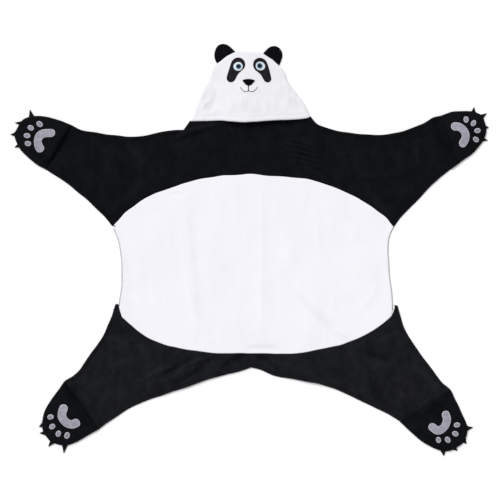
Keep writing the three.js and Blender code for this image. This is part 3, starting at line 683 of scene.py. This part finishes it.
# what all panels share; a panel's own dictionary says where it differs
panel = {
    "step": 4.0, "spacing": 4.2, "soften": 8.0, "edgeShare": 0.42, "floorAt": 0.05, "restsOn": ["floor"],
    # the line's last three set painted light and shade: the crease height that gives full painted shade, how
    # much painted light a ridge gets, and the painted band along a free hem's edge
    "tuck": 0, "sewnAbove": None, "alsoSewn": (), "creaseForFullShade": 3.0, "ridgeHighlight": 1.0, "paintedHemEdge": 0,
}
turnedEdge = {  # how fast a hem rises, how wide its sewing is, its waves, and where the painted light and shade along it lie
    "rise": 0.9, "sewn": 1.5, "secondRow": 0.7, "wave": 0.35, "waveLong": 17, "swellLong": 23,
    "paintedEdgeAt": 5, "paintedEdgeReach": 4, "sewnRowShade": 0.4, "sewnRowShadeReach": 1.8,
}
topstitch = {"pitch": 4.4, "length": 3.4, "lift": -0.15, "radius": 0.42, "arch": 0.15}
thinnest = 1.4  # the least cloth under a trough


def clothPiece(name, ownCut):
    # one panel of fleece over its CAD solid
    cut = {**panel, **ownCut}
    node, step, band, rim = cut["node"], cut["step"], cut["band"], cut["rim"]
    sewing = band - 1.0
    hem = turnedEdge
    edge = edgeFor(node, step)
    edge = edge - inwardOf(edge) * cut["tuck"]
    free = freePart(edge, cut["sewnTo"], step, cut["sewnAbove"])
    field = fieldOver(edge)
    topField, lowField = sidesOf(node, edge, field, cut["soften"])
    lumps = lumpField(field, cut["seed"], cut["lumpReach"], cut["lumps"])
    lumps += lumpField(field, cut["seed"] + 50, cut["lumpReach"] / 3, cut["lumps"] / 3)
    along = np.arange(len(edge)) * step
    wave = np.sin(along * 2 * math.pi / hem["waveLong"]) * np.sin(along / hem["swellLong"])

    def moved(places):
        return readField(field, lumps, places) + creaseHeights(places, cut["creases"])

    def upper(places, deep, near):
        height = readField(field, topField, places) + moved(places)
        turned = free[near]
        height += turned * cut["bandRise"] / (1 + np.exp((deep - band) / hem["rise"]))
        height -= turned * cut["sewnIn"] * np.exp(-((deep - sewing) / hem["sewn"]) ** 2)
        height += turned * hem["wave"] * wave[near] * np.exp(-((deep - band / 2) / (band / 2)) ** 2)
        for line in cut["alsoSewn"]:
            depth = cut["sewnIn"] * hem["secondRow"]
            height -= turned * depth * np.exp(-((deep - line) / hem["sewn"]) ** 2)
        return np.maximum(height, readField(field, lowField, places) + thinnest)

    def under(places):
        base, lift = readField(field, lowField, places), moved(places)
        return np.maximum(base + np.minimum(lift, 0.6 * lift), cut["floorAt"])

    rings = sorted({rim * 0.12, rim * 0.45, rim,
                    band - 3.2, sewing - 1.4, sewing, sewing + 1.4, band + 2.4})
    points, faces, upCount = closedSheet(edge, upper, under, rim, rings, cut["spacing"], cut["edgeShare"])
    piece = meshPiece(name, points, faces, cut["material"])
    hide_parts(node)
    surfaces[node] = surfaceOf(points, faces[:upCount])

    # painted light and shade for the fleece material: lighter on a ridge, darker in a trough, a painted band
    # along a free hem's edge (lighter on the yoke, darker at a mitt's mouth) and painted shade along the
    # sewn row
    edgeTree = treeOf(edge)
    deep, near = depthsIn(points, edgeTree)
    paintedShading = creaseHeights(points, cut["creases"]) / cut["creaseForFullShade"]
    paintedShading = np.where(paintedShading > 0, paintedShading * cut["ridgeHighlight"], paintedShading)
    hemEdgePaint = cut["paintedHemEdge"] * np.exp(-((deep - hem["paintedEdgeAt"]) / hem["paintedEdgeReach"]) ** 2)
    sewnRowShading = hem["sewnRowShade"] * cut["sewnIn"] * np.exp(-((deep - sewing) / hem["sewnRowShadeReach"]) ** 2)
    paintedShading += free[near] * (hemEdgePaint - sewnRowShading)
    values = piece.data.attributes.new("paintedShading", "FLOAT", "POINT").data
    values.foreach_set("value", np.clip(paintedShading, -1, 1))

    # grey threads over the free edge: their grey is painted shadow along it
    if "overlock" in cut:
        overlockEdge(f"{name}_overlock", edge, free, surfaces[node], cut)
    lines = (sewing, *cut["alsoSewn"]) if "thread" in cut else ()
    rows = [stitchesAlong(run, surfaces[node], topstitch)
            for line in lines for run in freeRuns(edge, free, line, edgeTree)]
    if rows:
        starts, ends = (np.vstack(side) for side in zip(*rows))
        threadBits(f"{name}_topstitch", starts, ends, topstitch["radius"], topstitch["arch"],
                                cut["thread"], cut["slot"])


# the body: yoke with sleeves, belly, seat with legs
# x1 y1 x2 y2 bow height halfWidth lean
yoke = {
    "node": "upper_body", "material": blackFleece, "thread": blackThread, "slot": "black_fleece",
    "sewnTo": ("belly_panel", "hood_back", "front_left_mitt", "front_right_mitt"),
    # a painted highlight in a band along the free hem's edge
    "band": 12.0, "bandRise": 1.1, "sewnIn": 1.1, "paintedHemEdge": 0.4, "rim": 2.0,
    "seed": 3, "lumps": 0.55, "lumpReach": 34,
    "creases": [
        (100, 354, 226, 318, 5, 2.2, 5, 0.2), (104, 336, 236, 298, 6, 2.4, 5, 0.2),
        (108, 319, 246, 279, 6, 2.6, 5, 0.2), (114, 302, 256, 261, 6, 2.6, 5, 0.2),
        (122, 285, 252, 246, 5, 2.4, 5, 0.2), (134, 268, 238, 236, 4, 2.0, 5, 0.2),
        (102, 345, 230, 308, 5, -1.9, 5, 0.0), (106, 328, 240, 289, 6, -2.2, 5, 0.0),
        (110, 311, 250, 270, 6, -2.4, 5, 0.0), (118, 294, 254, 254, 5, -2.2, 5, 0.0),
        (128, 277, 244, 242, 5, -1.9, 5, 0.0),
        (-252, 346, -88, 400, 8, 4.6, 6.5, -0.2), (-246, 332, -96, 384, 8, -3.4, 6, 0.0),
        (-128, 384, -70, 402, 4, 3.0, 6, 0.3), (-150, 330, -118, 262, 6, 1.3, 9, -0.2),
        (-395, 330, -330, 238, 14, 2.6, 13, 0.2), (-420, 140, -340, 236, -12, 2.4, 12, -0.3),
        (-470, 330, -446, 232, 8, 2.0, 12, 0.2), (-520, 340, -540, 262, -6, 1.8, 10, 0.3),
        (-560, 246, -604, 322, 8, 1.8, 9, -0.2), (-500, 190, -476, 262, 6, 1.6, 10, 0.2),
        (-300, 300, -262, 224, 9, 1.3, 12, -0.2), (-60, 352, -22, 268, 8, 1.1, 13, 0.3),
        (20, 396, 44, 318, 5, 1.2, 10, -0.3), (246, 352, 300, 236, 14, 1.8, 13, 0.3),
        (330, 330, 384, 214, -12, 2.4, 13, -0.3), (452, 108, 384, 206, 14, 2.2, 12, 0.3),
        (432, 330, 472, 226, 10, 1.9, 12, -0.2), (520, 352, 534, 256, -8, 1.9, 10, 0.3),
        (560, 232, 590, 300, 6, 1.7, 9, 0.2), (486, 158, 470, 236, -6, 1.5, 10, -0.2),
    ],
}
clothPiece("yoke_and_sleeves_fleece", yoke)

seat = {
    "node": "lower_body", "material": litLegFleece, "thread": blackThread, "slot": "black_fleece",
    "sewnTo": ("belly_panel", "back_left_mitt", "back_right_mitt"),
    "band": 12.0, "bandRise": 0.7, "sewnIn": 1.1, "rim": 2.0, "seed": 11, "lumps": 0.6, "lumpReach": 32,
    "creases": [
        (-296, -410, -150, -334, 8, -3.4, 7, 0.2), (-256, -424, -116, -342, -6, -3.2, 7, 0.2),
        (-280, -420, -134, -340, 2, 2.6, 8, 0.4), (-236, -374, -100, -330, 5, 2.0, 7, 0.3),
        (-350, -420, -236, -366, 10, 3.2, 7, 0.3), (-216, -382, -96, -338, 5, -3.0, 6, 0.2),
        (-92, -376, 6, -330, 12, -3.6, 7, 0.2), (-60, -344, 30, -326, 6, -3.2, 5, 0.2),
        (6, -332, 92, -374, 12, -3.4, 6, -0.2), (44, -350, 132, -372, 10, 2.6, 8, -0.3),
        (110, -340, 190, -366, 12, 2.2, 10, 0.3), (150, -392, 286, -420, -10, 2.2, 11, 0.2),
        (352, -318, 436, -362, 8, -2.2, 14, 0.0), (380, -396, 440, -492, -8, -2.0, 16, 0.0),
        (508, -362, 588, -446, 6, 3.4, 9, 0.3), (-454, -276, -380, -300, 6, 2.2, 10, 0.2),
        (-440, -380, -352, -336, 8, 2.4, 12, -0.3), (-500, -420, -420, -392, -8, 1.8, 11, 0.3),
        (-470, -500, -420, -440, 10, 1.9, 10, 0.2), (-540, -440, -498, -490, 6, 1.7, 9, -0.2),
        (-366, -262, -300, -330, -9, 1.7, 12, 0.3), (478, -262, 400, -296, -8, 2.2, 11, -0.2),
        (450, -372, 360, -340, -8, 2.2, 12, 0.3), (520, -410, 440, -392, 8, 1.9, 11, 0.2),
        (500, -492, 446, -440, -10, 1.8, 10, -0.3), (574, -446, 524, -492, 8, 1.7, 9, 0.2),
        (350, -270, 300, -340, 8, 1.6, 12, -0.2), (390, -452, 330, -410, 6, 1.5, 10, 0.3),
    ],
}
clothPiece("seat_and_legs_fleece", seat)

belly = {
    "node": "belly_panel", "material": whiteFleece, "slot": "white_fleece",
    # strong painted shade in the belly's troughs, little painted light on its ridges
    "sewnTo": ("upper_body", "lower_body"), "tuck": 0.8, "edgeShare": 0.22, "creaseForFullShade": 1.3, "ridgeHighlight": 0.15,
    "band": 6.0, "bandRise": 0.3, "sewnIn": 0.3, "rim": 3.2, "seed": 21, "lumps": 0.5, "lumpReach": 48,
    # grey threads over the free side edges, whose grey is painted shadow along the edge
    "overlock": {"width": 3.6, "outside": 0.9, "pitch": 0.8, "radius": 0.42, "arch": 1.1,
                 "startsAt": 0.35, "lift": 0.25},
    "creases": [
        (-219, 204, -168, -226, -6, -0.6, 8, 0.0), (34, 236, 33, -306, 3, 0.5, 8, 0.0),
        (116, -106, 352, -318, -10, -1.3, 13, 0.2), (-14, -303, 100, -306, -5, -2.0, 8, 0.2),
        (-252, 178, -206, 172, 3, -0.7, 5, 0.0), (204, 160, 214, -60, 4, 0.5, 9, 0.3),
        (250, -236, 310, -268, -4, 1.2, 8, 0.2), (-330, 108, -296, -96, 12, 0.9, 20, 0.2),
        (-120, 196, -96, 40, 10, 0.7, 16, -0.2), (216, 172, 262, 10, 12, 0.8, 18, 0.3),
        (340, 86, 318, -84, -10, 0.8, 20, -0.3), (-386, -150, -300, -226, 8, 1.2, 12, 0.3),
        (-20, 150, -6, -90, 8, 0.6, 18, 0.2), (110, 90, 132, -60, 6, 0.6, 18, -0.2),
        (-60, -120, -40, -280, 6, 0.7, 16, 0.2), (400, -100, 330, -206, 9, 1.0, 14, -0.2),
    ],
}
clothPiece("belly_panel_fleece", belly)

seamEnds = {  # turned over at the belly's corners: x1 y1 x2 y2
    "places": [(-434, 84, -420, 73), (-428, -188, -407, -169), (465, -192, 454, -171)],
    "startHeight": 3.2, "endHeight": 3.6, "radius": 1.7, "arch": 0.5, "sides": 8,
}
starts, ends = np.hsplit(np.array(seamEnds["places"], float), 2)
level = np.ones(len(starts))
threadBits("seam_end_tabs", np.c_[starts, level * seamEnds["startHeight"]],
           np.c_[ends, level * seamEnds["endHeight"]], seamEnds["radius"], seamEnds["arch"], blackFleece,
           "black_fleece", seamEnds["sides"])
print("the body is sewn")

# the hood and its ears
hoodBackCut = {
    "node": "hood_back", "material": hoodFleece, "thread": whiteThread, "slot": "white_fleece",
    "sewnTo": ("upper_body", "hood_front"), "band": 10.0, "bandRise": 0.0, "sewnIn": 0.0, "rim": 2.0,
    "seed": 31, "lumps": 0.3, "lumpReach": 26,
    "creases": [(-120, 470, -60, 540, 6, 0.8, 12, 0.2), (110, 470, 60, 560, -6, 0.8, 12, -0.2)],
}
clothPiece("hood_back_fleece", hoodBackCut)

hoodFrontCut = {
    "node": "hood_front", "material": hoodFleece, "thread": whiteThread, "slot": "white_fleece",
    "sewnTo": ("hood_back",), "sewnAbove": 432, "step": 3.0, "spacing": 3.2, "soften": 10.0,
    "band": 15.0, "bandRise": 0.5, "sewnIn": 0.9, "rim": 4.5, "edgeShare": 0.12, "floorAt": 3.0,
    # painted shade in the hood's troughs, little painted light on its ridges
    "seed": 41, "lumps": 0.45, "lumpReach": 24, "restsOn": ["hood_back"], "creaseForFullShade": 2.5, "ridgeHighlight": 0.3,
    "creases": [
        (-5, 490, -5, 424, 0, -1.1, 2.6, 0.0), (-148, 436, -114, 474, 7, 2.4, 8, 0.3),
        (-128, 430, -96, 452, -5, 1.6, 8, -0.2), (172, 432, 126, 488, -8, 2.2, 9, -0.3),
        (142, 430, 108, 462, 5, 1.5, 8, 0.2), (-60, 428, -48, 470, 4, 1.3, 10, 0.2),
        (52, 430, 42, 476, -4, 1.3, 10, -0.2), (-112, 520, -92, 470, 8, 1.2, 11, 0.2),
        (110, 524, 96, 478, -8, 1.2, 11, -0.3), (-30, 478, -24, 440, 3, 0.9, 8, 0.2),
        (-146, 496, -136, 432, 5, -1.9, 9, 0.3), (150, 500, 160, 436, -5, -1.9, 9, -0.3),
        (106, 552, 136, 466, -6, 1.5, 8, 0.3), (-22, 476, -10, 424, 2, -1.0, 6, 0.0),
        (18, 482, 26, 438, -3, 0.9, 8, -0.2), (-44, 506, 40, 508, -7, 0.8, 9, 0.2),
        (-103, 508, -138, 436, 6, -1.9, 7, 0.2), (131, 510, 143, 436, -6, -1.9, 7, -0.2),
    ],
}
clothPiece("hood_front_fleece", hoodFrontCut)


crown = {"edge": 0.72, "reach": 3, "power": 0.7}  # a padded part's height at its edge and how it swells


def paddedPart(name, node, cut, base):
    # a small crowned part on its CAD outline: an ear, a pad or a sewn-on shape
    loop = np.array(cut["outline"]) if "outline" in cut else outlineOf(node)
    edge = strayed(smoothLoop(loop, cut["step"], cut.get("sharp", 38)))
    edge = edge + inwardOf(edge) * cut.get("tuck", 0)
    middle = edge.mean(0)
    edge = middle + (edge - middle) * cut.get("stretch", (1, 1)) + cut.get("shift", (0, 0))
    rim = cut["rim"]

    def upper(places, deep, near):
        swell = np.clip(deep / (rim * crown["reach"]), 0, 1) ** crown["power"]
        return base(places) + cut["height"] * (crown["edge"] + (1 - crown["edge"]) * swell)

    points, faces, upCount = closedSheet(edge, upper, base, rim, [rim * 0.15, rim * 0.5, rim],
                                         cut["spacing"], 0.4, cut.get("coarse", 2))
    piece = meshPiece(name, points, faces, cut["material"])
    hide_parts(node)
    surfaces[node] = surfaceOf(points, faces[:upCount])
    return piece, edge


def puffUp(piece, puff, held):
    # the shell of a stuffed part under air pressure, held at its root, as real wadding fills it
    group = piece.vertex_groups.new(name="held")
    group.add([int(k) for k in held], 1.0, "REPLACE")
    cloth = piece.modifiers.new("cloth", "CLOTH")
    cloth.settings.vertex_group_mass = "held"
    cloth.settings.use_pressure = True
    cloth.settings.uniform_pressure_force = puff["pressure"]
    cloth.settings.tension_stiffness = puff["stiffness"]
    cloth.settings.compression_stiffness = puff["stiffness"]
    cloth.settings.bending_stiffness = puff["bending"]
    cloth.settings.effector_weights.gravity = 0
    cloth.collision_settings.use_collision = False
    before = np.array([vertex.co for vertex in piece.data.vertices])
    for moment in range(1, puff["frames"] + 1):
        scene.frame_set(moment)
    posed = piece.evaluated_get(bpy.context.evaluated_depsgraph_get())
    move = np.array([vertex.co for vertex in posed.data.vertices]) - before
    piece.modifiers.remove(cloth)
    piece.vertex_groups.clear()
    scene.frame_set(1)
    far = np.linalg.norm(move, axis=1)
    most = puff["mostMove"] / 1000
    move *= (np.minimum(far, most) / np.maximum(far, 1e-9))[:, None]
    after = before + move
    after[:, 2] = np.maximum(after[:, 2], puff["floor"] / 1000)  # it lies on the floor
    piece.data.vertices.foreach_set("co", after.ravel())
    piece.data.update()
    print(f"{piece.name}: puffed by up to {far.max() * 1000:.1f} mm")


earCut = {
    "material": earFleece, "slot": "black_fleece", "height": 4.6, "rim": 4.0, "step": 1.6, "spacing": 2.2,
    "sharp": 60, "coarse": 1, "fill": 0.35, "tuck": -1.7, "offFloor": 0.9, "rootWidth": 5,
    "puff": {"pressure": 30, "stiffness": 12, "bending": 0.02, "frames": 20, "mostMove": 2.6,
             "floor": 0.2},
}
earOutlines = {  # round from the outer corner of the root; the root runs just under the hood's edge
    "left": [(-99.3, 586.0), (-88.6, 594.0), (-79.2, 603.4), (-70.0, 610.0), (-59.2, 615.4), (-46.2, 620.6),
             (-55.8, 629.6), (-65.8, 638.0), (-75.0, 643.2), (-86.0, 645.2), (-94.2, 643.8), (-101.0, 639.8),
             (-106.8, 630.6), (-109.6, 620.2), (-109.6, 608.4), (-106.0, 596.4)],
    "right": [(91.8, 580.6), (97.8, 594.6), (101.6, 607.8), (99.8, 621.6), (92.8, 632.4), (85.0, 637.8),
              (75.2, 639.6), (65.4, 637.6), (56.4, 631.6), (49.4, 623.8), (44.2, 616.6), (53.8, 611.0),
              (63.8, 605.0), (73.6, 598.6), (82.4, 589.6)],
}
for side, outline in earOutlines.items():
    node = f"ear_{side}"
    ear, edge = paddedPart(f"{node}_fleece", node, {**earCut, "outline": outline},
                           lambda places: np.full(len(places), earCut["offFloor"]))
    gap, _ = depthsIn(edge, treeOf(edgeFor("hood_back", panel["step"])))
    puffUp(ear, earCut["puff"], np.flatnonzero(gap < earCut["rootWidth"]))
print("hood and ears are sewn")


# the face
feltPatch = {"material": blackFelt, "slot": "black_felt", "height": 1.6, "rim": 0.9, "step": 1.4,
             "spacing": 2.0}
satinDisc = {"height": 1.3, "rim": 1.0, "step": 1.0, "spacing": 1.3}
pupilDisc = {"height": 0.9, "rim": 0.7, "step": 0.7, "spacing": 0.9, "stretch": (1.12, 1.12)}
noseCut = {"material": noseThread, "slot": "black_felt", "height": 3.2, "rim": 2.4, "step": 1.2,
           "spacing": 1.6, "stretch": (1.08, 1.03)}
patchBorder = {"width": 2.4, "pitch": 0.85, "radius": 0.42, "arch": 0.5, "out": 0.4}
noseBorder = {**patchBorder, "width": 2.2}
eyes = {  # where each eye looks from, and how its patch and white lie off the pattern
    "left": {"look": (-34.7, 575.8), "iris": (-1.0, 1.6), "patch": (0, 1.6), "white": (-1.8, 2.6),
             "squash": 1},
    "right": {"look": (31.8, 576.6), "iris": (0, 2.0), "patch": (0, 0.8), "white": (0, 2.4),
              "squash": 0.92},
}
irisRays = (4.6, 8.6, 36)  # where its dark middle ends, where its pale rim starts, and its rays
glint = {"from": (0.6, -1.6), "apart": 0.7, "count": 2, "run": (1.4, 0.1), "lift": 0.25, "radius": 0.26,
         "arch": 0.15}
mouth = [  # points of a stroke, its lanes of thread and their radius
    ([(-3.6, 516.5), (-3.6, 496.8)], (-0.9, 0.0, 0.9), 0.6),
    ([(-3.6, 497.6), (-12.2, 494.8), (-19.6, 498.2), (-25.6, 504.0), (-29.0, 510.4)], (-0.5, 0.5), 0.52),
    ([(-3.6, 497.6), (5.8, 495.2), (14.6, 497.2), (20.5, 503.0), (24.9, 511.2)], (-0.5, 0.5), 0.52),
]
mouthStitch = {"pitch": 2.1, "length": 2.5, "endGap": 2.0, "lift": 0.15, "arch": 0.2}


def satinBorder(name, edge, surface, border, material, slotName):
    # satin stitches side by side across a sewn-on edge
    edge, inward = (np.vstack([loop, loop[:1]]) for loop in (edge, inwardOf(edge)))
    reach = reachOf(edge)
    count = int(reach[-1] / border["pitch"])
    at = np.arange(count) * reach[-1] / count
    places, turn = placesAlong(edge, reach, at), placesAlong(inward, reach, at)
    outer = places - turn * border["out"]
    inner = places + turn * (border["width"] - border["out"])
    low = heightOn(surface, inner)
    return threadBits(name, np.c_[outer, low - 1.0], np.c_[inner, low + 0.1], border["radius"],
                      border["arch"], material, slotName)


def onPiece(node):
    return lambda places: heightOn(surfaces[node], places)


eyeWhite = satinThread("white_rayon_eye", "#b4c2cd", "#dae3ea", 0.6)
navy = satinThread("navy_rayon_pupil", "#010406", "#050d18", 0.8, 0.1)
for side, eye in eyes.items():
    look = eye["look"]
    patchNode, whiteNode, irisNode, pupilNode = (f"eye_{part}_{side}" for part in
                                                 ("patch", "white", "iris", "pupil"))
    patch = {**feltPatch, "shift": eye["patch"]}
    _, edge = paddedPart(f"{patchNode}_felt", patchNode, patch, onPiece("hood_front"))
    satinBorder(f"{patchNode}_border", edge, surfaces[patchNode], patchBorder, blackThread, "black_felt")
    white = {**satinDisc, "material": eyeWhite, "slot": "white_satin", "tuck": 0.4, "shift": eye["white"],
             "stretch": (1, eye["squash"])}
    paddedPart(f"{whiteNode}_satin", whiteNode, white, onPiece(patchNode))
    threads = satinThread(f"blue_rayon_iris_{side}", "#0c1d31", "#66859f", 0.7, 0.2, look, irisRays)
    iris = {**satinDisc, "material": threads, "slot": "blue_satin", "shift": eye["iris"]}
    paddedPart(f"{irisNode}_satin", irisNode, iris, onPiece(whiteNode))
    pupil = {**pupilDisc, "material": navy, "slot": "navy_satin", "shift": eye["iris"]}
    paddedPart(f"{pupilNode}_satin", pupilNode, pupil, onPiece(irisNode))
    spots = np.array([look] * glint["count"]) + glint["from"]
    spots[:, 1] += glint["apart"] * np.arange(glint["count"])
    level = heightOn(surfaces[pupilNode], spots) + glint["lift"]
    threadBits(f"eye_glint_{side}", np.c_[spots, level], np.c_[spots + glint["run"], level],
               glint["radius"], glint["arch"], glintThread, "white_satin")

_, noseEdge = paddedPart("nose_felt", "nose", noseCut, onPiece("hood_front"))
satinBorder("nose_border", noseEdge, surfaces["nose"], noseBorder, blackThread, "black_felt")

for number, (stroke, lanes, radius) in enumerate(mouth, 1):
    knots = np.array([stroke[0]] + stroke + [stroke[-1]], float)
    knots[0] = 2 * knots[1] - knots[2]
    knots[-1] = 2 * knots[-2] - knots[-3]
    line = curveThrough(knots)
    reach = reachOf(line)
    aside = np.gradient(line, axis=0)
    aside = np.c_[-aside[:, 1], aside[:, 0]] / np.hypot(*aside.T)[:, None]
    at = np.arange(0, reach[-1] - mouthStitch["endGap"], mouthStitch["pitch"])
    strands = []
    for shift in (0, mouthStitch["length"]):
        places = np.vstack([placesAlong(line + aside * lane, reach, at + shift) for lane in lanes])
        strands.append(np.c_[places, heightOn(surfaces["hood_front"], places) + mouthStitch["lift"]])
    threadBits(f"mouth_stitches_{number}", *strands, radius, mouthStitch["arch"], mouthThread,
               "black_felt")
print("the face is sewn on")


# mitts with pads and claws
mitts = {
    "front_left": {
        "seed": 61,
        "creases": [(-612, 372, -566, 300, 6, 1.6, 7, 0.3), (-640, 300, -610, 276, 4, 1.2, 7, 0.2),
                    (-720, 392, -690, 420, -3, 0.8, 6, 0.2), (-600, 396, -570, 356, 5, 1.2, 7, -0.2)],
    },
    "front_right": {
        "seed": 62,
        "creases": [(612, 380, 588, 306, 6, 1.6, 7, -0.3), (640, 306, 616, 280, 4, 1.2, 7, 0.2),
                    (722, 402, 696, 428, 3, 0.8, 6, 0.2), (596, 404, 580, 366, -5, 1.2, 7, 0.3),
                    (594, 398, 640, 284, -2, -2.6, 7, 0.0)],
    },
    "back_left": {
        "seed": 63,
        "creases": [(-560, -470, -516, -516, 5, 1.6, 7, 0.3), (-590, -450, -570, -480, 4, 1.2, 7, 0.2),
                    (-510, -560, -480, -530, -4, 1.2, 7, -0.2), (-640, -590, -620, -570, 3, 0.8, 6, 0.2)],
    },
    "back_right": {
        "seed": 64,
        "creases": [(580, -470, 540, -524, -5, 1.6, 7, -0.3), (604, -452, 590, -486, 4, 1.2, 7, 0.2),
                    (520, -560, 506, -530, 4, 1.2, 7, 0.2), (660, -590, 640, -568, 3, 0.8, 6, 0.3)],
    },
}
mittCut = {
    "material": blackFleece, "thread": blackThread, "slot": "black_fleece", "step": 3.0, "spacing": 3.4,
    # a painted shade band along the mitt's mouth: partly the hem band's pressed nap, partly the shade of its
    # raised lip
    "band": 24.0, "bandRise": 0.6, "sewnIn": 1.0, "paintedHemEdge": -0.5, "alsoSewn": (3.0,), "rim": 4.5,
    "edgeShare": 0.12, "floorAt": 3.0, "soften": 9.0, "lumps": 0.35, "lumpReach": 20,
}
palmPad = {"material": palmPlush, "slot": "grey_plush", "height": 2.6, "rim": 1.8, "step": 1.3,
           "spacing": 1.9, "tuck": 0.5, "fill": 0.3}
toePad = {**palmPad, "material": toePlush, "height": 2.4, "tuck": 0.8}
padBorder = {"width": 2.8, "pitch": 0.62, "radius": 0.33, "arch": 0.45, "out": 0.4}
clawCut = {  # its foot is what lies further from the tip than footFrom of its length
    "rings": 9, "sides": 12, "thickness": 5.0, "inSeam": 2.2, "longer": 1.0, "fuller": 1.22, "fill": 0.8,
    "footFrom": 0.6, "power": 0.95, "hollow": 0.05, "flare": 0.14, "blunt": 0.05,
}


def clawPoint(name, node, mittNode):
    # a small stuffed point caught in the mitt's seam, with a slightly hollow taper
    points, _, _ = solidOf(node)
    mittEdge = edgeFor(mittNode, mittCut["step"])
    plan = points[:, :2]
    out, _ = depthsIn(plan, treeOf(mittEdge))
    tip = plan[out.argmax()]
    far = np.hypot(*(plan - tip).T)
    foot = plan[far > clawCut["footFrom"] * far.max()]
    root = foot.mean(0)
    run = (tip - root) * (1 + clawCut["longer"] / np.hypot(*(tip - root)))
    length = np.hypot(*run)
    ahead = run / length
    aside = np.array([-ahead[1], ahead[0]])
    halfWidth = np.abs((foot - root) @ aside).max() * clawCut["fuller"]
    middle = points[:, 2].mean()
    count, sides = clawCut["rings"], clawCut["sides"]
    rings = []
    for k in range(count):
        t = k / (count - 1)
        taper = (1 - t) ** clawCut["power"] * (1 - clawCut["hollow"] * math.sin(math.pi * t))
        taper += clawCut["flare"] * (1 - t) ** 4 + clawCut["blunt"]
        centre = root - ahead * clawCut["inSeam"] + run * (t * (1 + clawCut["inSeam"] / length))
        for i in range(sides):
            angle = 2 * math.pi * i / sides
            spot = centre + aside * (math.cos(angle) * halfWidth * taper)
            rings.append((*spot, middle + math.sin(angle) * clawCut["thickness"] / 2 * taper))
    piece = meshPiece(name, rings, tubeFaces(count, sides), clawFelt)
    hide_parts(node)


for limb, mitt in mitts.items():
    node = f"{limb}_mitt"
    body = "upper_body" if limb.startswith("front") else "lower_body"
    cut = {**mittCut, **mitt, "node": node, "sewnTo": (body,), "restsOn": [body]}
    clothPiece(f"{limb}_mitt_fleece", cut)
    for pad, padCut in [("palm_pad", palmPad)] + [(f"toe_pad_{k}", toePad) for k in (1, 2, 3, 4)]:
        padNode = f"{limb}_{pad}"
        _, edge = paddedPart(f"{padNode}_plush", padNode, padCut, onPiece(node))
        satinBorder(f"{padNode}_border", edge, surfaces[padNode], padBorder, greyThread, "grey_plush")
    for k in (1, 2, 3, 4):
        clawPoint(f"{limb}_claw_{k}_felt", f"{limb}_claw_{k}", node)
print("mitts, pads and claws are sewn")
